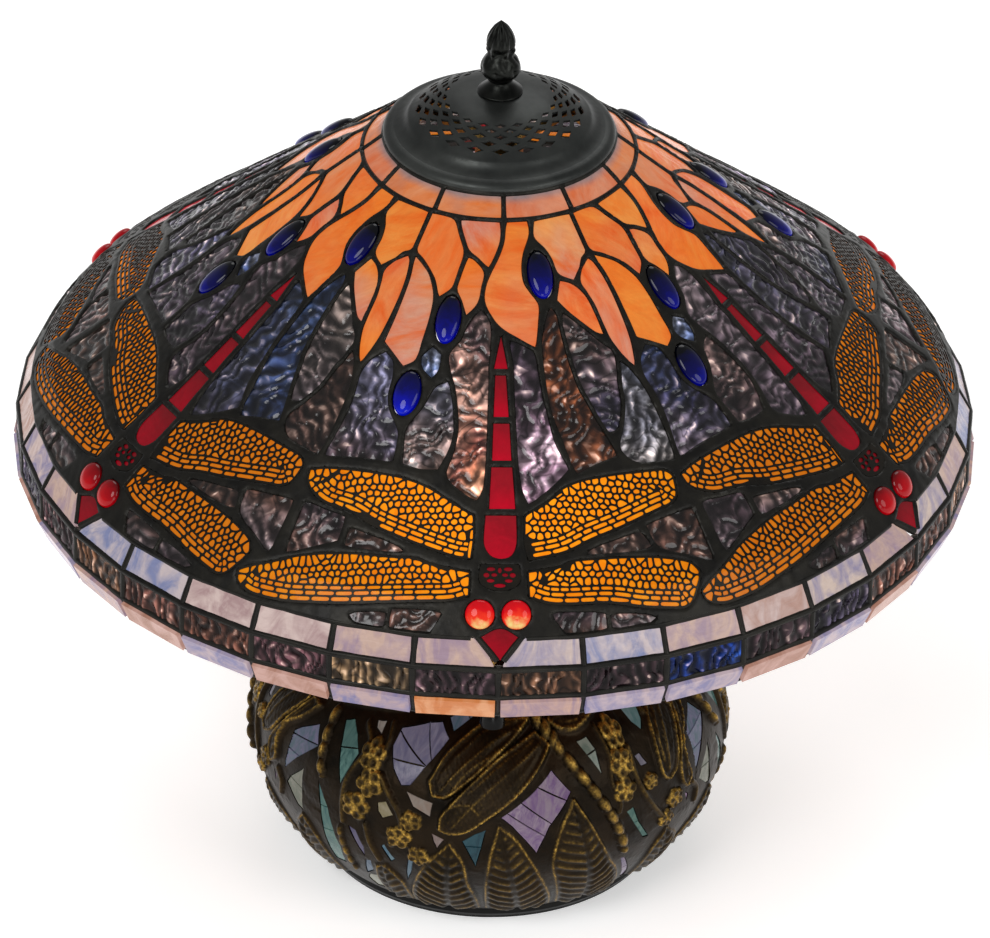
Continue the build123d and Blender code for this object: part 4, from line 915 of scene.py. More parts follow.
def rope(path, outs, half_w, half_h, sides=10, loop=False, seed=0):
    """A soldered strip along a path, with an oval section and slightly uneven sides."""
    path, outs = np.asarray(path, float), np.asarray(outs, float)
    along = np.roll(path, -1, 0) - np.roll(path, 1, 0)
    if not loop:
        along[0], along[-1] = path[1] - path[0], path[-1] - path[-2]
    along /= np.linalg.norm(along, axis=1, keepdims=True)
    side = np.cross(along, outs)
    side /= np.linalg.norm(side, axis=1, keepdims=True)
    up = np.cross(side, along)
    swell = 1 + 0.09 * waves(path, 13, seed + 11, 2)
    steps = np.arange(sides) * 2 * pi / sides
    rings = [p + np.outer(np.cos(steps) * half_w * w, a) + np.outer(np.sin(steps) * half_h * w, b)
             for p, a, b, w in zip(path, side, up, swell)]
    return swept(rings, loop=loop)


CHIN_HALF = 2.4                  # the top rail stops this many degrees short of each chin's middle
CHIN_TIP = 0.84                  # share of the upper border above which the chin takes the seam's place


def make_rails(material):
    """Solder along the shade's corner lines, at each facet corner and beside the chins."""
    parts = []
    for line in range(4):
        path, outs, turns = [], [], []
        for facet in range(FACETS):
            band, share = (line, 0.0) if line < 3 else (2, 1.0)
            p0, n0 = on_line(FACET * facet, band, share)
            p1, n1 = on_line(FACET * facet + FACET, band, share)
            m0 = on_line(FACET * facet, max(0, line - 1), 0.0)[1]
            m1 = on_line(FACET * facet + FACET, max(0, line - 1), 0.0)[1]
            for t in np.arange(6) / 6:
                path.append(p0 * (1 - t) + p1 * t)
                turns.append(FACET * (facet + t))
                out = (n0 + m0) * (1 - t) + (n1 + m1) * t
                outs.append(out / np.linalg.norm(out))
        path = np.array(path) - np.array(outs) * (1.3 if line < 3 else 0.6)
        half_w, half_h = (2.1, 2.4) if line < 3 else (1.8, 2.1)
        if line:
            parts.append(rope(path, outs, half_w, half_h, loop=True, seed=line))
            continue
        away = np.abs((np.array(turns) + SECTOR / 2) % SECTOR - SECTOR / 2)
        for k in range(SECTORS):
            run = np.where((away > CHIN_HALF) & (np.array(turns) // SECTOR == k))[0]
            parts.append(rope(path[run], np.array(outs)[run], half_w, half_h, seed=k))
    for facet in range(FACETS):
        for band in range(3):
            start = 0.06 if facet % 6 or band else CHIN_TIP
            runs = [on_line(FACET * facet, band, t, -1.3) for t in np.linspace(start, 0.94, 7)]
            parts.append(rope([p for p, _ in runs], [n for _, n in runs], 2.1, 2.3, seed=facet * 3 + band))
    chin = BODY[-1]
    for k in range(SECTORS):
        for a, b in ((chin[0], chin[3]), (chin[2], chin[3])):
            sign = -1 if a[0] < b[0] else 1
            flat = np.linspace(to_flat([a])[0] + (sign * 1.2, 1.6), to_flat([b])[0] + (sign * 1.6, -0.4), 9)
            low, high = lift(flat, np.full(9, -1.1)), lift(flat, np.full(9, 1.0))
            parts.append(rope(spun(low, SECTOR * k), spun(high - low, SECTOR * k), 1.9, 2.2, seed=k))
    points, faces = joined(parts)
    return tri_mesh("shade_rails", points, faces, "shade", ["rim_wire"], sharp=60,
                    material=material)


BORDER_TONES = {
    "upper_border_glass": LAVENDER,
    "ripple_border_glass": [("#4a2a26", "#a06a5c"), ("#30202a", "#7c6068"), ("#5c3c2c", "#b08060"),
                            ("#3c222c", "#a07078"), ("#2c2438", "#746a88"), ("#442824", "#94604e")],
    "rim_border_glass": [("#a88ea0", "#dcb4a0"), ("#9490b8", "#d0bcc4"), ("#b88672", "#dcb0a4"),
                         ("#8c88b4", "#ccb0b0")]}
# Cells whose colour stands out, by band and facet.
SPECIAL_CELLS = {("ripple_border_glass", 2): ("#123a9a", "#3e6fd0"),
                 ("rim_border_glass", -1): ("#e08a50", "#f4b080"),
                 ("ripple_border_glass", -2): ("#8a6a4c", "#c8a880")}
# Painted glow of each border band, as for the glass of the cone: everywhere, and added where a bulb is
# near.
BORDER_LIT = {"upper_border_glass": (0.62, 0.3), "ripple_border_glass": (0.8, 0.9),
              "rim_border_glass": (0.62, 0.3)}
CHIN_BITE = 9.0                  # the cells beside a chin are this much shorter along their top
CELL_GAP = 1.4                   # from a facet's corner to the glass
CELL_W, CELL_H = 45, 19          # size of a cell, for its ripple pattern
CELL_COLUMNS, CELL_ROWS = 33, 15


def make_border(kind, band, rise, material):
    """Flat glass cells of one border band; the middle band is rippled."""
    plates = Plates()
    low, gain = BORDER_LIT[kind]
    half_turn = FACETS // 2
    for facet in range(-half_turn, half_turn):
        rng = random.Random(f"{kind}{facet}")
        first, second = SPECIAL_CELLS.get((kind, facet)) or rng.choice(BORDER_TONES[kind])
        corners = [on_line(FACET * facet + turn, band, share)[0] for share in (0, 1) for turn in (0, FACET)]
        top_left, top_right, low_left, low_right = corners
        across = (top_right - top_left) / np.linalg.norm(top_right - top_left)
        bites = [0.0, 0.0]
        if kind == "upper_border_glass":
            bites = [CHIN_BITE * (facet % 6 == 0), CHIN_BITE * (facet % 6 == 5)]
        top_left = top_left + across * (CELL_GAP + bites[0])
        top_right = top_right - across * (CELL_GAP + bites[1])
        low_left, low_right = low_left + across * CELL_GAP, low_right - across * CELL_GAP
        down = (low_left - top_left) + (low_right - top_right)
        out = np.cross(down, across)
        out /= -np.linalg.norm(out) if out[2] < 0 or out @ np.append(top_left[:2],
                                                                     0) < 0 else np.linalg.norm(out)
        u, v = np.meshgrid(np.linspace(0, 1, CELL_COLUMNS), np.linspace(0.04, 0.96, CELL_ROWS))
        u, v = u.ravel()[:, None], v.ravel()[:, None]
        top, bottom = top_left * (1 - u) + top_right * u, low_left * (1 - u) + low_right * u
        face = top * (1 - v) + bottom * v
        where = np.hstack([u * CELL_W, v * CELL_H])
        wave = np.sin(2 * pi * (u[:, 0] * 7 + 0.8 * waves(where, 24, facet + 60, 2)) + facet)
        wave = 0.85 * wave + 0.25 * waves(where, 9, facet + 160, 1)
        inner = np.clip(np.minimum(np.minimum(u, 1 - u) * 16, np.minimum(v, 1 - v) * 5), 0, 1)[:, 0]
        height = rise * wave * inner
        grid = np.arange(CELL_ROWS * CELL_COLUMNS).reshape(CELL_ROWS, CELL_COLUMNS)
        a, b, c, d = grid[:-1, :-1].ravel(), grid[:-1, 1:].ravel(), grid[1:, 1:].ravel(), grid[1:,
                                                                                               :-1].ravel()
        tris = np.concatenate([np.stack([a, d, c], 1), np.stack([a, c, b], 1)])
        front, back = face + out * height[:, None], face - out * GLASS_T
        coords = np.hstack([where[:, ::-1] + facet * 31.0, np.full((len(where), 1), facet * 2.3)])
        plates.add(front, back, tris, tone_a=colour(first), tone_b=colour(second), flow=coords,
                   lit=low + gain * glow(front), relief=wave)
    return plates.piece(f"shade_{kind}", "shade", kind, kind, material)


# ---- cap and finial --------------------------------------------------------------
CAP_LOW, CAP_HIGH = span("heat_cap")
CAP_FOOT, CAP_TOP = CAP_LOW[2], CAP_HIGH[2]
CAP_R = CAP_HIGH[0]
CAP_HOLE_R = 6.0
CAP_WALL = 1.4
# The dome's outside, (radius, height), from the finial's hole to the start of the rolled rim.
CAP_PROFILE = [(6, CAP_TOP), (11, CAP_TOP), (16, CAP_TOP - 1), (25, CAP_TOP - 2.9), (31, CAP_TOP - 4.9),
               (38, CAP_TOP - 8.3),
               (44, CAP_TOP - 12.1), (48.4, CAP_TOP - 15.2), (49.2, CAP_TOP - 15.6), (49.9, CAP_TOP - 16.7),
               (51.5, CAP_TOP - 18.6), (54, CAP_TOP - 20.3), (57, CAP_TOP - 21.4)]
LOZENGE_RINGS = [43.4, 39.7, 36.2, 32.8, 29.6]   # radii of the rows of holes
LOZENGE_COLUMNS = 20
CAP_SIDES = 144


def smooth_profile(knots, x):
    """A smooth curve through (x, y) knots."""
    kx, ky = np.array([k[0] for k in knots], float), np.array([k[1] for k in knots], float)
    slope = np.gradient(ky, kx)
    i = np.clip(np.searchsorted(kx, x) - 1, 0, len(kx) - 2)
    w = kx[i + 1] - kx[i]
    t = (x - kx[i]) / w
    return ((2 * t ** 3 - 3 * t ** 2 + 1) * ky[i] + (t ** 3 - 2 * t ** 2 + t) * w * slope[i]
            + (3 * t ** 2 - 2 * t ** 3) * ky[i + 1] + (t ** 3 - t ** 2) * w * slope[i + 1])


def circle(r, count):
    steps = np.arange(count) * 2 * pi / count
    return np.stack([r * np.sin(steps), -r * np.cos(steps)], 1)


def make_cap(material):
    """The pierced dome with its rolled rim."""
    holes = []
    for row, r in enumerate(LOZENGE_RINGS):
        half_w, half_l = 0.36 * 2 * pi * r / LOZENGE_COLUMNS, 1.9 - 0.12 * row
        for column in range(LOZENGE_COLUMNS):
            a = 2 * pi * (column + row % 2 / 2) / LOZENGE_COLUMNS
            out, side = np.array([sin(a), -cos(a)]), np.array([cos(a), sin(a)])
            holes.append(np.array([out * (r - half_l), out * r + side * half_w,
                                   out * (r + half_l), out * r - side * half_w]))
    edge_r = CAP_PROFILE[-1][0]
    loops = [circle(edge_r, CAP_SIDES), circle(CAP_HOLE_R, 48)]
    extra = [circle(r, max(24, round(2 * pi * r / 2.2))) for r in
             (8, 11, 14, 17, 20, 23, 26, 28.2, 31.2, 34.5, 38, 41.6, 45, 46.6, 48, 48.8, 49.5, 50.3, 51.2,
              52.4, 54, 55.6)]
    extra = np.concatenate(extra)
    for hole in holes:
        near = np.linalg.norm(extra - hole.mean(0), axis=1) < 5
        keep = np.ones(len(extra), bool)
        keep[near] = (loop_distance(extra[near], hole) > 0.7) & ~in_loop(extra[near], hole)
        extra = extra[keep]
    flat, tris = triangulated(loops + holes, extra)
    centre = flat[tris].mean(1)
    keep = np.hypot(*centre.T) > CAP_HOLE_R * 0.99
    for hole in holes:
        near = np.where(np.linalg.norm(centre - hole.mean(0), axis=1) < 4)[0]
        keep[near[in_loop(centre[near], hole)]] = False
    flat, tris, _ = subset(flat, tris[keep])
    height = smooth_profile(CAP_PROFILE, np.hypot(*flat.T))
    dome = closed(np.column_stack([flat, height]), np.column_stack([flat, height - CAP_WALL]), tris)
    edge_z = CAP_PROFILE[-1][1]
    outline = [(edge_r, edge_z), (59, edge_z - 0.4), (60.6, edge_z - 1.1), (61.9, edge_z - 2.3),
               (CAP_R - 0.1, edge_z - 3.8),
               (CAP_R - 0.3, CAP_FOOT + 0.4), (CAP_R - 0.9, CAP_FOOT), (CAP_R - 1.6, CAP_FOOT + 0.5),
               (60.9, edge_z - 3.4), (59.6, edge_z - 2.4), (edge_r, edge_z - CAP_WALL)]
    section = np.array([(0, -r, z) for r, z in outline])
    rings = [spun(section, 360 * k / CAP_SIDES) for k in range(CAP_SIDES)]
    points, faces = joined([dome, swept(rings, loop=True)])
    return tri_mesh("cap_dome", points, faces, "cap", ["heat_cap"], sharp=44,
                    material=material)


def make_finial(material):
    """A flared foot, a bulb wrapped in twisted leaves, berries and a ridged bud."""
    low, high = span("finial")
    foot, length = low[2], high[2] - low[2]
    knots = [(0, 12.0), (0.7, 12.3), (1.5, 11.4), (3.4, 9.2), (5.5, 7.3), (7.5, 6.6), (9, 7.6), (11, 9.4),
             (14, 10.6), (17, 10.4),
             (20, 9.0), (23.2, 6.8), (25.2, 5.9), (28, 7.4), (31, 7.4), (35, 6.2), (39, 3.9), (41.8, 1.8),
             (43.5, 0.25)]
    scale = length / knots[-1][0]
    heights = np.concatenate([np.linspace(0, 2, 6), np.linspace(2.5, 43.4, 118)])
    sides = 120
    rings = []
    steps = np.arange(sides) * 2 * pi / sides
    for h in heights:
        r = np.full(sides, smooth_profile(knots, np.array([h]))[0])
        wrap = np.clip(min(h - 8, 24 - h) / 3, 0, 1)
        first = np.abs(np.sin(3 * steps + h * 0.26)) ** 0.6
        second = np.abs(np.sin(3 * steps - h * 0.21 + 0.9)) ** 0.6
        r = r + wrap * (1.5 * np.maximum(first, 0.92 * second) - 1.2)
        bud = np.clip(min(h - 26.5, 43 - h) / 3, 0, 1)
        r = r + bud * (1.15 * np.abs(np.sin(4 * steps + 0.3 * sin(h * 0.3))) ** 0.7 - 0.5)
        for k in range(6):
            gap = (steps - radians(60 * k + 22) + pi) % (2 * pi) - pi
            r = r + 2.1 * np.exp(-((gap * 7.5 / 1.7) ** 2 + ((h - 25.4) / 1.7) ** 2))
        rings.append(np.column_stack([r * np.sin(steps), -r * np.cos(steps),
                                      np.full(sides, foot + h * scale)]))
    points, faces = swept(rings)
    return tri_mesh("finial_bud", points, faces, "finial", ["finial"], sharp=70,
                    material=material)


# ---- base: cast relief over a mosaic ---------------------------------------------
BASE_LOW, BASE_HIGH = span("base_shell")
FOOT_Z, BASE_TOP_Z = BASE_LOW[2], BASE_HIGH[2]
BELLY_R, BELLY_Z = 131.0, 67.0
PER_DEGREE = 2.1                 # millimetres of belly per degree, for distances on the pattern
REPEATS, PERIOD = 3, 120         # the pattern repeats round the base
WINDOWS = [
    ([(-53, 112), (-50, 103), (-55.5, 91), (-60, 79), (-62, 87), (-63, 97), (-58, 106)],
     [((-64, 99), (-48, 104)), ((-64, 92), (-50, 92))]),
    ([(-46, 119), (-43.5, 121), (-40, 116), (-37.3, 109), (-40, 91), (-43, 107), (-44, 112)],
     [((-46, 107), (-36, 112))]),
    ([(-36.4, 124), (-33.5, 125), (-33.2, 119.5), (-35.5, 121)], []),
    ([(-28, 124.5), (-20, 128.5), (-16, 129.5), (-12.8, 124), (-18, 111.5), (-21, 102), (-23.3, 101),
      (-26.5, 108),
      (-28.7, 117)], [((-29, 124), (-16, 110)), ((-21, 132), (-15, 108)), ((-30, 112), (-14, 112))]),
    ([(-14, 131), (-9, 135.5), (-5, 136.5), (-2.5, 135.5), (-8, 130.5), (-12, 126.5)],
     [((-10, 138), (-6, 128))]),
    ([(-21.7, 99), (-14.6, 95.5), (-15, 87.5), (-19.5, 91.5)], []),
    ([(-28.8, 89), (-26.5, 91), (-24.2, 84), (-27, 80.5), (-28.4, 84)], []),
    ([(-14.4, 78), (-11.2, 75), (-13, 68.5), (-14, 73)], []),
    ([(-7, 75), (-4, 80), (-1.2, 83), (-2.2, 72), (-3.6, 58), (-5.5, 68)], [((-8, 72), (0, 71.5))]),
    ([(2.3, 90), (10, 101.5), (16, 111.5), (20.3, 100), (18, 93), (14.3, 83), (11, 66.5), (8, 76),
      (5, 84.5)],
     [((6, 100), (18, 78)), ((9, 108), (22, 92)), ((1, 97), (16, 72))]),
    ([(25, 120.5), (28.5, 121.5), (29.8, 116), (29.4, 104.5), (27.5, 112)], [((24, 113), (31, 116))]),
    ([(43.2, 128.5), (49.6, 125.7), (48, 119), (46, 115.5), (44.3, 120)], []),
    ([(40.2, 107), (42, 107.5), (43.3, 101), (41.2, 101)], []),
    ([(34.7, 80), (36.8, 81.5), (38.3, 71), (42, 57), (40, 58), (37.5, 68)], [((33, 70), (42, 72))]),
    ([(54.7, 72.5), (56.3, 69), (55.6, 65)], []),
    ([(67.6, 88), (63, 78), (61.4, 72), (66, 62.5), (68.2, 61), (67.8, 75)], [((60, 78), (70, 74))]),
    ([(-46.8, 87), (-43, 74), (-41.5, 62), (-40.3, 48), (-41.5, 32), (-46, 30), (-45.2, 45), (-45, 60),
      (-45.5, 72)],
     [((-48, 72), (-40, 74)), ((-48, 56), (-38, 60))]),
    ([(-36.6, 68.5), (-34.3, 67), (-32.3, 57), (-32.6, 49), (-34, 55), (-35.3, 62)], []),
    ([(-32.8, 46), (-31.2, 47), (-31.6, 37), (-34.8, 31), (-34, 38)], []),
    ([(-27.3, 62), (-26.5, 64), (-23.8, 54.5), (-25, 52)], []),
    ([(-20.4, 57), (-19, 57), (-20, 46), (-21.8, 37), (-21.4, 46)], []),
    ([(-34, 31), (-31.4, 32.5), (-31.4, 17), (-36, 14), (-36.2, 24)], []),
    ([(34.4, 47.5), (36, 46.5), (38.4, 38), (43, 22), (44.5, 15), (42.5, 16), (38.5, 30), (36, 40)],
     [((35, 33), (42, 34))])]


def base_radius(z):
    """The base's outer radius: a full belly, flaring foot and domed top."""
    low = BELLY_R - 32 * (np.clip(BELLY_Z - z, 0, None) / (BELLY_Z - FOOT_Z)) ** 1.8
    return np.where(z < BELLY_Z, low, BELLY_R - 81 * (np.clip(z - BELLY_Z, 0,
                                                              None) / (BASE_TOP_Z - BELLY_Z)) ** 2.8)


def on_base(flat, height):
    """Pattern points put on the base, height millimetres off its face."""
    z = np.clip(flat[:, 1], FOOT_Z, BASE_TOP_Z)
    slope = (base_radius(np.minimum(z + 0.5, BASE_TOP_Z)) - base_radius(np.maximum(z - 0.5, FOOT_Z)))
    fall = np.hypot(1, slope)
    r, up = base_radius(z) + height / fall, z - height * slope / fall
    a = np.radians(flat[:, 0] / PER_DEGREE)
    return np.stack([r * np.sin(a), -r * np.cos(a), up], 1)


def patterned(points):
    return np.array([(phi * PER_DEGREE, z) for phi, z in points], float)


def path_distance(p, path):
    """Distance to an open path, and how far along the path the nearest point is."""
    best, along, travelled = np.full(len(p), 1e9), np.zeros(len(p)), 0.0
    for a, b in zip(path, path[1:]):
        d = b - a
        length = np.linalg.norm(d)
        t = np.clip((p - a) @ d / length ** 2, 0, 1)
        away = np.hypot(*(p - a - t[:, None] * d).T)
        closer = away < best
        best[closer], along[closer] = away[closer], travelled + t[closer] * length
        travelled += length
    return best, along


def peak(distance, width):
    return np.exp(-(distance / width) ** 2)


def leaf_relief(p, outline, tip, foot):
    """A standing leaf: raised rim, sunk midrib and herringbone ribs."""
    loop = rounded(patterned(outline), 2.0)
    inside = in_loop(p, loop)
    edge = loop_distance(p, loop)
    a, b = patterned([tip, foot])
    axis = (b - a) / np.linalg.norm(b - a)
    t, c = (p - a) @ axis, np.abs((p - a) @ np.array([-axis[1], axis[0]]))
    ribs = np.sin(2 * pi * (t + 0.6 * c) / 6.4) * np.clip((edge - 1) / 2, 0, 1) * np.clip(c / 2, 0, 1)
    height = 1.0 + 1.9 * np.clip(edge / 7, 0, 1) ** 0.7 - 1.3 * peak(c,
                                                                     1.3) + 0.65 * ribs + 0.75 * peak(edge,
                                                                                                      0.8)
    gold = 0.9 * peak(edge, 0.6) + 0.5 * np.clip(ribs, 0, 1) ** 2 + 0.08
    outer = 1.6 * peak(edge, 0.9)
    return np.where(inside, height, outer), np.where(inside, gold, 0.9 * peak(edge, 0.4))


def wing_relief(p, outline, veins):
    """A dragonfly wing: thick gold rim, long veins and a pebbled web."""
    loop = rounded(patterned(outline), 2.0)
    inside = in_loop(p, loop)
    edge = loop_distance(p, loop)
    height = 2.3 + 0.5 * np.clip(edge / 4, 0, 1) + 0.28 * waves(p, 2.6, 77, 2) - 0.5 * peak(edge - 2.2, 0.9)
    gold = 0.05 + 0.12 * np.clip(waves(p, 2.6, 77, 2), 0, 1)
    for vein in veins:
        away, _ = path_distance(p, rounded_path(patterned(vein)))
        height += 0.7 * peak(away, 0.6)
        gold = np.maximum(gold, 0.5 * peak(away, 0.45))
    rim = peak(edge, 0.62)
    height += 0.9 * rim
    gold = np.maximum(gold, rim)
    return np.where(inside, height, 3.0 * peak(edge, 1.0)), np.where(inside, gold, peak(edge, 0.45))


def rounded_path(path, step=1.5):
    """An open path redrawn as a smooth curve."""
    ends = np.concatenate([[2 * path[0] - path[1]], path, [2 * path[-1] - path[-2]]])
    points = []
    for p0, p1, p2, p3 in zip(ends, ends[1:], ends[2:], ends[3:]):
        count = max(1, round(np.linalg.norm(p2 - p1) / step))
        for t in np.arange(count) / count:
            points.append(0.5 * (2 * p1 + (p2 - p0) * t + (2 * p0 - 5 * p1 + 4 * p2 - p3) * t ** 2
                                 + (3 * p1 - p0 - 3 * p2 + p3) * t ** 3))
    return np.array(points + [path[-1]])


def bead_relief(p, path, width, height, pitch):
    """A string of long beads, as in a dragonfly's body."""
    away, along = path_distance(p, rounded_path(patterned(path)))
    beat = np.abs(np.sin(pi * along / pitch)) ** 0.5
    w = width * (0.62 + 0.38 * beat)
    dome = np.sqrt(np.clip(1 - (away / w) ** 2, 0, 1))
    return height * dome * (0.5 + 0.5 * beat), 0.95 * dome ** 2 * beat


def stem_relief(p, path, width, height, gold=0.35):
    away, _ = path_distance(p, rounded_path(patterned(path)))
    dome = np.sqrt(np.clip(1 - (away / width) ** 2, 0, 1))
    return height * dome, gold * dome ** 3


def blossom_relief(p, centre, size, turn):
    """Five cupped petals round a bead."""
    c = patterned([centre])[0]
    height, gold = np.zeros(len(p)), np.zeros(len(p))
    for k in range(5):
        a = radians(72 * k + turn)
        away = np.linalg.norm(p - c - size * 0.62 * np.array([cos(a), sin(a)]), axis=1) / (size * 0.53)
        cup = np.clip(1 - away ** 4, 0, 1) * 3.2 - 1.5 * peak(away, 0.45)
        height = np.maximum(height, cup)
        gold = np.maximum(gold, np.where(away < 1.1, 0.85 * peak(away - 0.76, 0.22) + 0.2, 0))
    middle = np.linalg.norm(p - c, axis=1) / (size * 0.26)
    height = np.maximum(height, 3.6 * np.sqrt(np.clip(1 - middle ** 2, 0, 1)))
    return height, np.maximum(gold, 0.9 * (middle < 0.8))


LEAVES = [
    ([(-22, 10), (-21.5, 25), (-19, 42), (-15.5, 58), (-10, 73), (-6.7, 62), (-5.6, 45), (-3.6, 28),
      (-2.5, 10)], (-10, 73), (-12, 8)),
    ([(-0.9, 10), (-1.2, 40), (-0.2, 66), (1.8, 85), (5.6, 78), (9.5, 63), (13.2, 45), (16.3, 28),
      (18.5, 10)], (1.8, 85), (9, 8)),
    ([(20.5, 10), (18.5, 28), (16.5, 44), (15, 60), (16.8, 80), (20.5, 96), (24, 82), (27, 68), (30.5, 52),
      (33.5, 42), (37, 27),
      (40, 12)], (20.5, 96), (29, 8)),
    ([(-52, 59), (-56, 48), (-59, 34), (-61, 20), (-61, 10), (-47.6, 10), (-47.2, 30), (-47.8, 45),
      (-49.5, 54)], (-52, 59), (-54, 8)),
    ([(48.5, 56), (45.5, 46), (45, 32), (47, 10), (58, 10), (57, 30), (54, 45)], (48.5, 56), (52, 8)),
    ([(-36, 10), (-30.5, 16), (-30.4, 34), (-29.5, 45), (-26.5, 48), (-23, 36), (-22.8, 10)], (-28, 50),
     (-29, 8))]
WING_SHAPES = [
    ([(-1, 130), (-6, 127), (-12.5, 118), (-16, 106), (-14.8, 99.5), (-11.5, 99.5), (-6, 108), (0, 117),
      (8, 126.5), (12, 131)],
     [[(10, 129), (0, 123), (-8, 113), (-13, 102)], [(8, 130), (-2, 127), (-10, 117)],
      [(2, 120.5), (-6, 112), (-10, 103)]]),
    ([(13, 126), (6, 121), (0, 115), (-7, 103), (-12, 90), (-12.5, 82), (-10, 80), (-6, 82), (-1, 90),
      (6, 101), (12, 112),
      (16.5, 121)],
     [[(14, 122), (4, 111), (-4, 98), (-9.5, 84)], [(12, 123), (2, 114.5), (-6, 102)],
      [(-3, 92), (-6, 97), (-10, 95)]]),
    ([(18, 129), (20, 134), (24, 137), (30, 138), (36, 132), (32, 128), (26, 125), (21, 126)],
     [[(19, 129), (26, 131.5), (34, 132)], [(20, 131), (25, 134.5), (31, 136)],
      [(21, 128), (27, 127.5), (32, 129.5)]]),
    ([(53, 125), (49.3, 118), (46.8, 105), (46.6, 92), (48.5, 88), (51.5, 92), (55, 105), (59, 117),
      (58, 123)],
     [[(55, 121), (51, 108), (48.6, 93)], [(53, 122), (49, 110), (47.8, 98)]]),
    ([(54.5, 77), (56.6, 82), (55.7, 93), (57, 103), (61, 110), (64, 118), (60.5, 119), (56.5, 105),
      (53, 91), (53, 82)],
     [[(61, 116), (56.3, 100), (54.7, 80)]]),
    ([(-52, 124.5), (-42, 127.5), (-30, 131), (-18, 136), (-8, 139.5), (-20, 140.5), (-35, 137),
      (-50, 131)],
     [[(-50, 127.5), (-35, 133.5), (-18, 138)]]),
    ([(-17, 141), (-8, 140.5), (2, 140), (6, 143), (0, 146), (-12, 146)], [[(-14, 143.5), (2, 143)]])]
BEADS = [([(17.5, 124), (20, 117), (22.5, 110), (25, 102), (27.5, 93), (29.7, 84), (31.5, 75), (33, 66),
           (34, 57)], 3.1, 4.2, 9.2),
         ([(13.5, 133), (15.5, 128.5), (18, 123)], 4.2, 5.2, 6.0),
         ([(-50.5, 122), (-48.6, 109), (-47.2, 98), (-45.6, 91)], 2.4, 3.6, 8.0),
         ([(-39, 66), (-38.6, 55), (-38, 44), (-37.5, 34)], 1.8, 2.4, 7.0)]
STEMS = [([(-31.5, 74), (-30, 62), (-28, 52)], 1.7, 2.2),
         ([(-38.4, 122), (-35, 114), (-38, 98), (-38.5, 84), (-38, 70)], 1.6, 1.9),
         ([(-29, 103), (-25.8, 95), (-22.6, 86), (-22, 76), (-24.5, 66)], 1.9, 2.4),
         ([(-31, 125), (-30, 118), (-30.5, 110)], 1.5, 1.8),
         ([(32, 124), (32.8, 112), (31.5, 100), (33, 88), (32.5, 82)], 1.4, 1.8),
         ([(39, 112), (38.5, 100), (40, 88), (43, 76), (46, 66)], 1.9, 2.2),
         ([(-12.3, 66), (-14.5, 62), (-17, 52)], 1.2, 1.4), ([(59, 62), (59.5, 70), (57.5, 76)], 1.8, 2.0),
         ([(-66, 112), (-69, 118), (-72, 126)], 2.0, 2.2)]
BLOSSOMS = [(-33, 111, 7.0, 20), (-31.6, 98, 7.2, 50), (-34.5, 83, 7.4, 5), (-19.6, 83.3, 5.4, 40),
            (-22.5, 72, 6.4, 10),
            (-17.5, 62, 5.4, 60), (36.4, 119.5, 6.6, 15), (35.4, 106.5, 6.8, 40), (34.6, 93.5, 6.4, 0),
            (50.3, 74, 5.4, 30),
            (47, 64.5, 4.8, 0), (42.7, 92, 4.2, 25)]


def relief(p):
    """Height of the cast ornament over pattern points, and how much gold is rubbed on it."""
    makers = [(leaf_relief, leaf, leaf[0]) for leaf in LEAVES]
    makers += [(wing_relief, wing, wing[0]) for wing in WING_SHAPES]
    makers += [(bead_relief, beads, beads[0]) for beads in BEADS]
    makers += [(stem_relief, stem, stem[0]) for stem in STEMS]
    makers += [(blossom_relief, ((phi, z), size, turn), [(phi, z)]) for phi, z, size, turn in BLOSSOMS]
    height, gold = 0.35 * waves(p, 16, 5, 3) + 0.1 * waves(p, 3.2, 6, 2), np.zeros(len(p))
    for maker, values, where in makers:
        for shift in (-PERIOD, 0, PERIOD):
            q = p - (shift * PER_DEGREE, 0)
            box = patterned(where)
            near = ((q > box.min(0) - 9) & (q < box.max(0) + 9)).all(1)
            if near.any():
                h, g = maker(q[near], *values)
                higher = h > height[near]
                gold[near] = np.where(higher, g, gold[near] * np.clip(1 - (h - height[near] + 0.8) / 0.8,
                                                                      0, 1))
                height[near] = np.maximum(h, height[near])
    return height, gold


def cut(outline, joint):
    """The two parts of a flat outline on either side of a joint line."""
    (x0, y0), (x1, y1) = joint
    parts = []
    for sign in (1, -1):
        side = sign * ((x1 - x0) * (outline[:, 1] - y0) - (y1 - y0) * (outline[:, 0] - x0))
        part = []
        for i in range(len(outline)):
            j = (i + 1) % len(outline)
            if side[i] >= 0:
                part.append(outline[i])
            if side[i] * side[j] < 0:
                part.append(outline[i] + (outline[j] - outline[i]) * side[i] / (side[i] - side[j]))
        if len(part) > 2:
            parts.append(np.array(part))
    return parts


def dense(loop, step):
    """A loop with points added along its straight sides."""
    points = []
    for a, b in zip(loop, np.roll(loop, -1, 0)):
        count = max(1, round(np.linalg.norm(b - a) / step))
        points += [a + (b - a) * t for t in np.arange(count) / count]
    return np.array(points)


RELIEF_STEP = 0.85
RELIEF_LOW = 14.0                # the ornament starts here, above the plain foot
FACE_DEPTH, SHELL_DEPTH = 2.4, 5.8               # from the cast face in to the shell's outside and inside
HALF_REACH = 68                  # half the azimuth span that one period's mesh is cut from
SHELL_SIDES, SHELL_ROWS = 120, 60


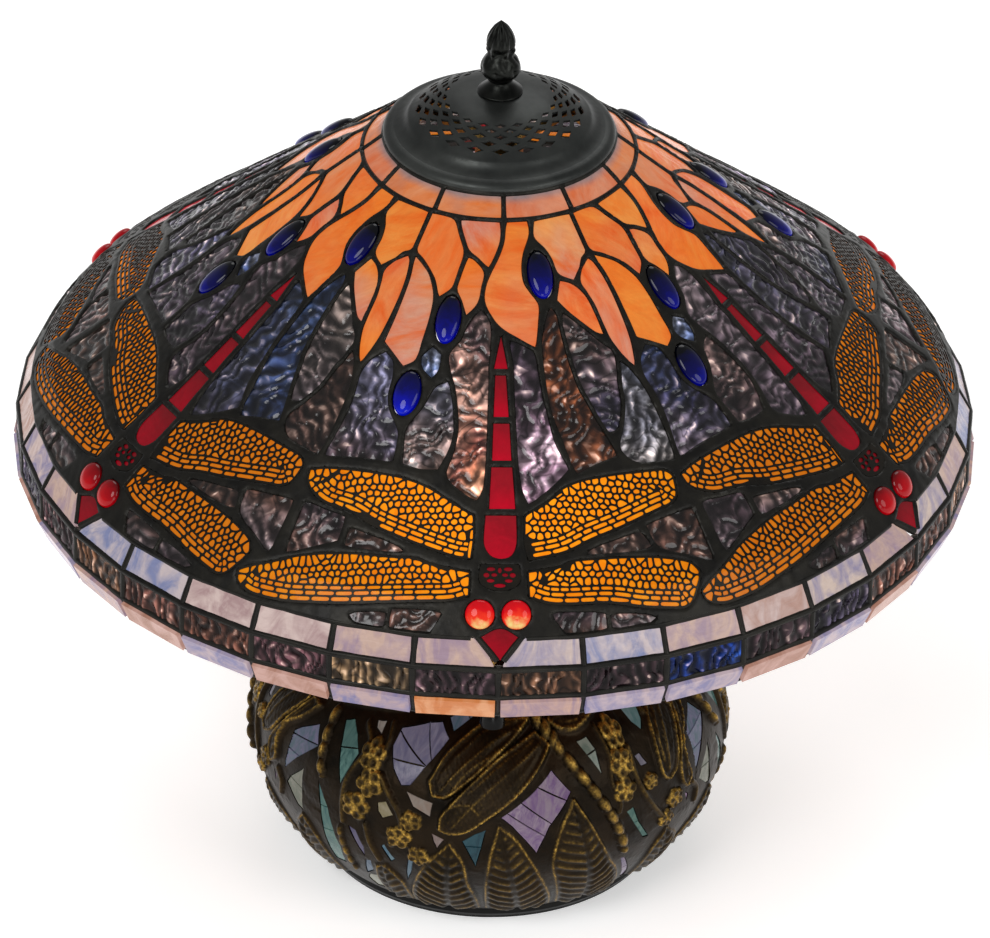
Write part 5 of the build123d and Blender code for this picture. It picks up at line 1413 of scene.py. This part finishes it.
def make_base(material):
    """The cast face with openings for the mosaic, over a plain shell."""
    windows = [dense(patterned(outline) + (shift * PER_DEGREE, 0), 1.0)
               for outline, _ in WINDOWS for shift in (-PERIOD, 0, PERIOD)]
    reach = HALF_REACH * PER_DEGREE
    windows = [w for w in windows if np.abs(w[:, 0]).max() < reach]
    width = PERIOD * PER_DEGREE
    columns = round(width / RELIEF_STEP)
    rows = round((BASE_TOP_Z - FOOT_Z) / RELIEF_STEP)
    rng = np.random.default_rng(12)
    points = []
    last = round(reach / RELIEF_STEP)
    k = np.arange(-last, last + 1)
    for row in range(rows + 1):
        z = FOOT_Z + (BASE_TOP_Z - FOOT_Z) * row / rows
        shift = (rng.uniform(-0.16, 0.16, (columns, 2)) * RELIEF_STEP * (0 < row < rows))[k % columns]
        points.append(np.stack([(k + row % 2 / 2) * width / columns + shift[:, 0], z + shift[:, 1]], 1))
    points = np.concatenate(points)
    for window in windows:
        points = cleared(points, window, 1, 0.5)
    flat, tris = triangulated(windows, points)
    centre = flat[tris].mean(1)
    keep = (centre[:, 0] >= -width / 2) & (centre[:, 0] < width / 2)
    for window in windows:
        keep[hits(centre, window)] = False
    flat, tris, _ = subset(flat, tris[keep])
    height, gold = relief(flat)
    edge = edge_distance(flat, windows)
    height = np.minimum(height, 0.25 + 1.5 * edge)
    fade = np.clip(np.minimum((flat[:, 1] - RELIEF_LOW) / 2.5, (BASE_TOP_Z - flat[:, 1]) / 5), 0, 1)
    height, gold = height * fade, gold * fade
    top, bottom = on_base(flat, height), on_base(flat, np.full(len(flat), -FACE_DEPTH))
    face_points, face_tris, first = repeated(top, bottom, tris, range(0, 360, PERIOD), 0.03)
    gold = np.tile(gold, REPEATS)[first]
    line = np.stack([np.zeros(SHELL_ROWS), np.linspace(FOOT_Z, BASE_TOP_Z, SHELL_ROWS)], 1)
    front, back = (on_base(line, np.full(SHELL_ROWS, -depth)) for depth in (FACE_DEPTH, SHELL_DEPTH))
    section = np.concatenate([front, back[::-1]])
    shell = swept([spun(section, 360 * k / SHELL_SIDES) for k in range(SHELL_SIDES)], loop=True)
    points, faces = joined([(face_points, face_tris), shell])
    gold = np.concatenate([gold, gold, np.zeros(len(shell[0]))])
    return tri_mesh("base_relief", points, faces, "base", ["base_shell"], {"gold": gold},
                    sharp=60,
                    material=material)


# A faint painted glow on the mosaic tiles, which have no light behind them.
TILE_PAINTED_GLOW = 0.2
TILE_TONES = [("#708a9a", "#9896b8"), ("#54817e", "#7aa8a0"), ("#a89c92", "#c8c0b8"),
              ("#8684a6", "#b0acc8"),
              ("#607a8c", "#929ab4"), ("#b09c8e", "#ccc0b4"), ("#aca078", "#c8bc9c"),
              ("#a48c84", "#c0aea8"),
              ("#2a4e5c", "#42707e"), ("#9c7cae", "#c4b0c4"), ("#8a9e90", "#b4beb0"),
              ("#6c9696", "#92b0b2"),
              ("#868294", "#a4a0ae"), ("#5a8c84", "#82a89a"), ("#96769e", "#b496b8"),
              ("#929a88", "#b8b8a8"),
              ("#508484", "#7ca89c"), ("#74709a", "#928cac"), ("#6a86a4", "#8ca2b8"),
              ("#6290ac", "#88acbc"),
              ("#6c90a8", "#88a2b4"), ("#9ca088", "#b8ba9e"), ("#9080a8", "#ae94ae")]


def make_tiles(material):
    """The mosaic: each tile its own plate, laid in the openings."""
    plates = Plates()
    for index, (outline, joints) in enumerate(WINDOWS):
        pieces = [patterned(outline)]
        for joint in joints:
            pieces = [part for piece in pieces for part in cut(piece, patterned(joint))]
        for number, piece in enumerate(pieces):
            if area_of(piece) < 7:
                continue
            loop = shifted(dense(piece, 3.0), -0.42)
            flat, tris = triangulated([loop], np.zeros((0, 2)))
            flat, tris, _ = subset(flat, tris[in_loop(flat[tris].mean(1), loop)])
            for k in range(REPEATS):
                rng = random.Random(f"tile{index}-{number}-{k}")
                lean = rng.uniform(-0.12, 0.12)
                height = -0.35 + lean * (flat[:, 0] - flat[:, 0].mean()) / 8
                top, bottom = on_base(flat, height), on_base(flat, height - 1.6)
                first, second = (colour(c) * rng.uniform(0.85, 1.1) for c in TILE_TONES[index])
                coords = np.column_stack([flat + index * 17.0 + k * 70, np.full(len(flat), number * 3.0)])
                plates.add(spun(top, PERIOD * k), spun(bottom, PERIOD * k), tris, tone_a=first,
                           tone_b=second,
                           flow=coords, lit=np.full(len(flat), TILE_PAINTED_GLOW), relief=np.zeros(len(flat)))
    return plates.piece("base_mosaic", "base", "mosaic_glass", "mosaic_tiles", material, sharp=40)


# ---- materials -------------------------------------------------------------------
class Graph:
    """A material's node tree, built by short calls."""

    def __init__(self, name):
        self.material = bpy.data.materials.new(name)
        self.material.use_nodes = True
        self.tree = self.material.node_tree
        self.tree.nodes.clear()

    def node(self, kind, inputs=None, **settings):
        node = self.tree.nodes.new("ShaderNode" + kind)
        for key, value in settings.items():
            setattr(node, key, value)
        for key, value in (inputs or {}).items():
            if isinstance(value, bpy.types.NodeSocket):
                self.tree.links.new(value, node.inputs[key])
            else:
                node.inputs[key].default_value = value
        return node

    def attribute(self, name, vector=False):
        node = self.node("Attribute", attribute_name=name)
        return node.outputs["Color" if vector else "Fac"]

    def math(self, operation, a, b=0.0, clamp=False):
        return self.node("Math", {0: a, 1: b}, operation=operation, use_clamp=clamp).outputs[0]

    def sum(self, value, factor, offset, clamp=False):
        """value times factor plus offset."""
        node = self.node("Math", {0: value, 1: factor, 2: offset}, operation="MULTIPLY_ADD",
                         use_clamp=clamp)
        return node.outputs[0]

    def scaled(self, vector, factors):
        return self.node("VectorMath", {0: vector, 1: factors}, operation="MULTIPLY").outputs[0]

    def noise(self, vector, scale, detail=3.0, roughness=0.55, distortion=0.0):
        values = {"Vector": vector, "Scale": scale, "Detail": detail, "Roughness": roughness,
                  "Distortion": distortion}
        return self.node("TexNoise", values).outputs["Fac"]

    def ramp(self, value, stops):
        """A colour ramp from (position, colour or grey) stops."""
        node = self.node("ValToRGB", {"Fac": value})
        ramp = node.color_ramp
        while len(ramp.elements) < len(stops):
            ramp.elements.new(0.5)
        for element, (place, tone) in zip(ramp.elements, stops):
            element.position = place
            element.color = (*colour(tone), 1) if isinstance(tone, str) else (tone, tone, tone, 1)
        return node.outputs["Color"]

    def mix(self, share, a, b, blend="MIX"):
        node = self.node("Mix", data_type="RGBA", blend_type=blend)
        for index, value in ((0, share), (6, a), (7, b)):
            if isinstance(value, bpy.types.NodeSocket):
                self.tree.links.new(value, node.inputs[index])
            elif isinstance(value, str):
                node.inputs[index].default_value = (*colour(value), 1)
            else:
                node.inputs[index].default_value = value
        return node.outputs[2]

    def bump(self, height, strength, distance):
        values = {"Height": height, "Strength": strength, "Distance": distance}
        return self.node("Bump", values).outputs["Normal"]

    def surface(self, **inputs):
        """The principled surface; names use spaces for underscores."""
        values = {key.replace("_", " "): value for key, value in inputs.items()}
        for key, value in values.items():
            if isinstance(value, str):
                values[key] = (*colour(value), 1)
        shader = self.node("BsdfPrincipled", values)
        self.node("OutputMaterial", {"Surface": shader.outputs[0]})
        return self.material


def place(graph):
    """Object coordinates in metres."""
    return graph.node("TexCoord").outputs["Object"]


def art_glass(name, streaks, wisp, gloss, contrast, specular=0.16, water=0.0):
    """Streaky art glass, lit from behind by a painted glow; water glass also has ridges that gather the
    light, painted as highlights and shade.
    """
    g = Graph(name)
    flow = g.attribute("flow", True)
    streak = g.noise(g.scaled(flow, (streaks[0], streaks[1], 1)), 1.0, 4.0, 0.6, wisp)
    share = g.ramp(streak, [(contrast[0], 0.0), (contrast[1], 1.0)])
    tone = g.mix(share, g.attribute("tone_a", True), g.attribute("tone_b", True))
    fine = g.noise(g.scaled(flow, (0.35, 0.12, 1)), 1.0, 1.0 if water else 5.0, 0.65, 0.3 if water else 1.2)
    tone = g.mix(g.math("MULTIPLY", fine, 0.35), tone, g.mix(1.0, tone, "#8a6a62", "MULTIPLY"))
    light = g.attribute("lit")
    emission, height = tone, fine
    if water:
        # Painted light: bright lines on the ridges' crests, painted shade in the troughs, veins and dark
        # patches stand in for light bunched and spread by the ridges, and a noise mask adds white painted
        # glints on the highest ridges.
        rise = g.node("SeparateXYZ", {"Vector": flow}).outputs["Y"]
        wander = g.noise(g.scaled(flow, (0.055, 0.045, 1)), 1.0, 1.2, 0.5, 0.2)
        phase = g.math("ADD", g.sum(rise, 2 * pi / 9.0, 0.0), g.sum(wander, 15.0, 0.0))
        fold = g.sum(g.math("SINE", phase), 0.1, 0.5)
        fold = g.math("ADD", fold, g.sum(g.attribute("relief"), 0.42, 0.0), clamp=True)
        crest_light = g.math("POWER", fold, 3.0)
        patch = g.ramp(g.noise(g.scaled(flow, (0.04, 0.03, 1)), 1.0, 1.0), [(0.42, 0.2), (0.58, 1.3)])
        vein = g.noise(g.scaled(flow, (0.06, 0.09, 1)), 1.0, 1.5, 0.5, 0.8)
        vein = g.sum(g.math("ABSOLUTE", g.math("SUBTRACT", vein, 0.5)), 14.0, 0.12, clamp=True)
        shade = g.math("MULTIPLY", g.math("MULTIPLY", g.sum(crest_light, 2.0, 0.07), patch), vein)
        glint = g.ramp(g.noise(g.scaled(flow, (0.2, 0.11, 1)), 1.0, 1.0, 0.5, 0.3),
                       [(0.55, 0.0), (0.61, 1.0)])
        painted_glint = g.math("MULTIPLY", g.math("MULTIPLY", glint, g.math("POWER", fold, 4.5)), water)
        emission = g.mix(g.math("MULTIPLY", painted_glint, 0.5, clamp=True), tone, "#ffe2d0")
        light = g.math("MULTIPLY", light, g.math("ADD", shade, g.sum(painted_glint, 1.6, 0.0)))
        height = fold
        # The glass's own colour is painted darker in the troughs: painted shade.
        body = g.mix(1.0, tone, g.mix(crest_light, (0.02, 0.02, 0.02, 1), (0.3, 0.3, 0.3, 1)), "MULTIPLY")
    else:
        body = g.mix(1.0, tone, (0.22, 0.22, 0.22, 1), "MULTIPLY")
    return g.surface(Base_Color=body, Roughness=gloss, Specular_IOR_Level=specular,
                     Emission_Color=emission, Emission_Strength=light,
                     Normal=g.bump(height, 0.25, 0.001 if water else 0.0004))


def jewel_glass(name, stops, strength):
    """Polished jewel: dark above as painted shade, and glowing low on the dome where the light gathers, as
    painted light.
    """
    g = Graph(name)
    lit = g.attribute("lit")
    cloud = g.noise(place(g), 160.0, 3.0)
    low = g.math("ADD", g.sum(g.attribute("rise"), 0.36, 0.2), g.sum(cloud, 0.3, -0.15))
    tone = g.ramp(g.math("ADD", low, g.math("MULTIPLY", lit, 0.42)), stops)
    body = g.mix(1.0, tone, (0.14, 0.14, 0.14, 1), "MULTIPLY")
    return g.surface(Base_Color=body, Roughness=0.05, Specular_IOR_Level=0.2,
                     Emission_Color=tone, Emission_Strength=g.math("ADD", g.math("MULTIPLY", lit, 0.4),
                                                                   strength))


def metal(name, dark, light, roughness, scale, metallic=1.0, bump=0.25, wear=(0.35, 0.7)):
    """Mottled metal with a fine cast or soldered surface."""
    g = Graph(name)
    where = place(g)
    patch = g.noise(where, scale, 5.0, 0.6)
    fine = g.noise(where, scale * 9, 3.0)
    tone = g.ramp(patch, [(wear[0], dark), (wear[1], light)])
    shine = g.sum(fine, 0.22, roughness - 0.1)
    return g.surface(Base_Color=tone, Metallic=metallic, Roughness=shine, Specular_IOR_Level=0.25,
                     Normal=g.bump(fine, bump, 0.0003))


def bronze(name):
    """Dark cast bronze with gold rubbed on the high edges."""
    g = Graph(name)
    where = place(g)
    patch = g.noise(where, 45.0, 4.0, 0.6)
    fine = g.noise(where, 700.0, 3.0)
    dark = g.ramp(patch, [(0.3, "#100c07"), (0.7, "#241b10")])
    gilt = g.ramp(fine, [(0.3, "#745824"), (0.7, "#caa24a")])
    broken = g.ramp(g.noise(where, 110.0, 3.0), [(0.38, 0.25), (0.6, 1.0)])
    rubbed = g.math("MULTIPLY", g.math("POWER", g.attribute("gold"), 1.7), broken)
    wear = g.math("MULTIPLY", rubbed, g.math("ADD", fine, 0.35), clamp=True)
    tone = g.mix(wear, dark, gilt)
    shine = g.math("ADD", g.math("MULTIPLY", patch, 0.2), 0.3)
    return g.surface(Base_Color=tone, Metallic=0.75, Roughness=shine, Specular_IOR_Level=0.15,
                     Normal=g.bump(fine, 0.3, 0.0004))


def plain(name, first, second, roughness, scale, metallic=0.0, bump=0.2, sheen=0.0):
    """Painted, moulded or woven surfaces: two close tones broken up by noise."""
    g = Graph(name)
    where = place(g)
    tone = g.ramp(g.noise(where, scale, 4.0), [(0.35, first), (0.65, second)])
    fine = g.noise(where, scale * 12, 2.0)
    return g.surface(Base_Color=tone, Metallic=metallic, Roughness=g.sum(fine, 0.15, roughness - 0.07),
                     Sheen_Weight=sheen, Specular_IOR_Level=0.12, Normal=g.bump(fine, bump, 0.0002))


def frosted_bulb(name):
    """A lit frosted bulb, hottest in the middle of the face that looks at the eye."""
    g = Graph(name)
    facing = g.node("LayerWeight", {"Blend": 0.4}).outputs["Facing"]
    tone = g.ramp(facing, [(0.0, "#fff4dc"), (0.7, "#ffd08a"), (1.0, "#e8a860")])
    glow = g.sum(g.noise(place(g), 60.0, 2.0), 0.2, 0.5)
    return g.surface(Base_Color=g.mix(1.0, tone, (0.3, 0.3, 0.3, 1), "MULTIPLY"), Roughness=0.3,
                     Emission_Color=tone, Emission_Strength=glow)


# ---- the shade, put together -----------------------------------------------------
LEAD = metal("lead", "#0d0c0a", "#201e19", 0.42, 60.0, metallic=0.5)
WATER = art_glass("water_glass", (0.03, 0.016), 1.0, 0.16, (0.3, 0.7), 0.35, 1.0)
EDGE_WATER = art_glass("edge_water_glass", (0.03, 0.016), 1.0, 0.2, (0.3, 0.7), 0.12, 0.8)
PETAL = art_glass("petal_glass", (0.045, 0.02), 2.0, 0.16, (0.32, 0.7))
AMBER = art_glass("amber_glass", (0.06, 0.06), 1.5, 0.2, (0.3, 0.7), 0.08)
RED = art_glass("red_glass", (0.09, 0.05), 1.5, 0.14, (0.3, 0.7))
OPAL = art_glass("opal_glass", (0.035, 0.06), 1.2, 0.2, (0.38, 0.62))
make_lead(LEAD)
for kind, look in (("crown_bricks", PETAL), ("crown_petals", PETAL), ("petal_leaves", WATER),
                   ("ripple_rays", WATER),
                   ("wing_glass", AMBER), ("dragonfly_bodies", RED), ("dragonfly_heads", RED),
                   ("ground_glass", WATER)):
    make_glass(kind, look)
COBALT = jewel_glass("cobalt_jewel", [(0.12, "#00010a"), (0.42, "#03055e"), (0.68, "#050ebc"),
                                      (0.86, "#1030ff"), (0.98, "#9ab4ff")], 0.3)
RUBY = jewel_glass("ruby_jewel", [(0.1, "#5a0208"), (0.36, "#b40012"), (0.56, "#e20a16"),
                                  (0.68, "#ff3a20"), (0.78, "#ffe08a")], 0.35)
make_jewels("cabochon_jewels", "cabochons",
            [(phi, r, radians(half_phi) * r * 0.98, half_r / COS_WALL * 0.98, 4.0)
             for phi, r, half_phi, half_r in CABOCHONS], 0.2, 0.1, COBALT)
make_jewels("eye_gems", "eye_jewels", [(phi, r, EYE_R, EYE_R, 4.6) for phi, r in EYES], 0.3, 0.3, RUBY)
NET = metal("net_metal", "#0d0b08", "#1d1810", 0.42, 90.0, metallic=0.5)
make_wing_net(NET)
make_head_net(NET)
make_rails(LEAD)
make_border("upper_border_glass", 0, 0.12, OPAL)
make_border("ripple_border_glass", 1, 0.8, EDGE_WATER)
make_border("rim_border_glass", 2, 0.12, OPAL)
BRONZE = bronze("cast_bronze")
make_base(BRONZE)
TILE = art_glass("tile_glass", (0.09, 0.05), 3.0, 0.12, (0.36, 0.62))
make_tiles(TILE)
SATIN = metal("cap_bronze", "#262827", "#3c3e3c", 0.4, 30.0, metallic=0.7, bump=0.12)
make_cap(SATIN)
make_finial(metal("finial_bronze", "#121312", "#262725", 0.34, 80.0, bump=0.2))


# ---- finishes of the CAD parts that stay -----------------------------------------
BRASS = metal("brass", "#7a5a24", "#b08a44", 0.3, 40.0)
STEEL = metal("steel", "#6a6a6a", "#9a9a98", 0.3, 50.0)
FINISHES = [
    (BRASS, ["shade_top_ring", "shade_wheel", "cluster_body", "socket_caps", "socket_shells",
             "chain_outlets", "plug_prongs"]),
    (STEEL, ["stud", "stud_nuts", "cluster_arms", "arm_nuts", "base_plate", "base_screws"]),
    (SATIN, ["stem_sleeves", "base_collar"]),
    (plain("black_foot", "#070707", "#141412", 0.4, 30.0, bump=0.15), ["foot_ring"]),
    (plain("felt", "#0b0b0b", "#191917", 0.95, 90.0, bump=0.6, sheen=0.4), ["felt_pad"]),
    (plain("iron", "#1a1918", "#2e2b28", 0.7, 60.0, metallic=0.8, bump=0.6), ["ballast"]),
    (plain("paper_liner", "#3a2f1e", "#5c4c34", 0.85, 80.0), ["socket_liners"]),
    (plain("phenolic", "#0a0a0a", "#16130f", 0.35, 40.0), ["socket_interiors"]),
    (plain("wire", "#cfcabc", "#e8e4d8", 0.4, 60.0), ["lead_wires", "stem_wire"]),
    (plain("rubber", "#0a0a0a", "#161616", 0.6, 60.0), ["cord_bushing"]),
    (plain("cord", "#1c120a", "#2c1d10", 0.42, 40.0), ["cord", "plug_body"]),
    (frosted_bulb("bulb_glass"), [f"bulb_glass_{side}" for side in SIDES]),
    (metal("bulb_base", "#8a8a8c", "#c4c4c6", 0.28, 60.0), [f"bulb_base_{side}" for side in SIDES]),
    (metal("chain", "#5a4420", "#8c6c34", 0.32, 90.0), [f"pull_chain_{side}" for side in SIDES]),
    (plain("black_fob", "#030303", "#0a0909", 0.16, 60.0), [f"chain_fob_{side}" for side in SIDES])]
for finish, names in FINISHES:
    for name in names:
        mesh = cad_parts[name].data
        mesh.materials.clear()
        mesh.materials.append(finish)


# ---- stage -----------------------------------------------------------------------
def stage_floor():
    g = Graph("floor_paper")
    tone = g.ramp(g.noise(place(g), 3.0, 3.0), [(0.3, "#f7f7f6"), (0.7, "#ffffff")])
    material = g.surface(Base_Color=tone, Roughness=0.9, Emission_Color=tone, Emission_Strength=0.34)
    mesh = bpy.data.meshes.new("floor")
    mesh.from_pydata([(-20, -20, 0), (20, -20, 0), (20, 20, 0), (-20, 20, 0)], [], [(0, 1, 2, 3)])
    mesh.materials.append(material)
    floor = bpy.data.objects.new("floor", mesh)
    bpy.context.scene.collection.objects.link(floor)


def area_light(name, position, target, size, power, tone=(1, 1, 1)):
    light = bpy.data.lights.new(name, "AREA")
    light.shape, light.size, light.energy, light.color = "DISK", size, power, tone
    lamp = bpy.data.objects.new(name, light)
    lamp.location = position
    lamp.rotation_euler = (Vector(target) - Vector(position)).to_track_quat("-Z", "Y").to_euler()
    bpy.context.scene.collection.objects.link(lamp)


stage_floor()
CENTRE = (0, 0, 0.25)
area_light("key", (-1.6, -2.4, 2.6), CENTRE, 1.8, 60)
area_light("fill", (2.2, -1.8, 1.6), CENTRE, 1.8, 30)
area_light("low_front", (0.2, -3.0, 0.5), (0, 0, 0.1), 1.2, 16)
area_light("back", (0.3, 2.2, 2.6), CENTRE, 2.0, 25)
world = bpy.data.worlds.new("studio")
world.use_nodes = True
backdrop = world.node_tree.nodes["Background"]
backdrop.inputs["Color"].default_value = (1, 1, 1, 1)
seen = world.node_tree.nodes.new("ShaderNodeLightPath").outputs["Is Camera Ray"]
strength = world.node_tree.nodes.new("ShaderNodeMath")
strength.operation = "MULTIPLY_ADD"
strength.inputs[1].default_value, strength.inputs[2].default_value = 0.5, 0.45
world.node_tree.links.new(seen, strength.inputs[0])
world.node_tree.links.new(strength.outputs[0], backdrop.inputs["Strength"])
scene = bpy.context.scene
scene.world = world
scene.view_settings.view_transform = "Standard"

CAMERA_DISTANCE, CAMERA_RISE, CAMERA_SIDE, CAMERA_ROLL = 5.6716, 32.42, -0.96, 1.0
TARGET = Vector((0, 0, 0.25))
camera = bpy.data.objects.new("camera", bpy.data.cameras.new("camera"))
camera.data.lens = 377.3
camera.data.shift_x, camera.data.shift_y = 0.001, -0.0262
direction = Vector((sin(radians(CAMERA_SIDE)) * cos(radians(CAMERA_RISE)),
                    -cos(radians(CAMERA_SIDE)) * cos(radians(CAMERA_RISE)), sin(radians(CAMERA_RISE))))
camera.location = TARGET + direction * CAMERA_DISTANCE
look = (-direction).to_track_quat("-Z", "Y").to_matrix()
roll = Matrix.Rotation(radians(CAMERA_ROLL), 3, "Z")
camera.rotation_euler = (look @ roll).to_euler()
scene.collection.objects.link(camera)
scene.camera = camera
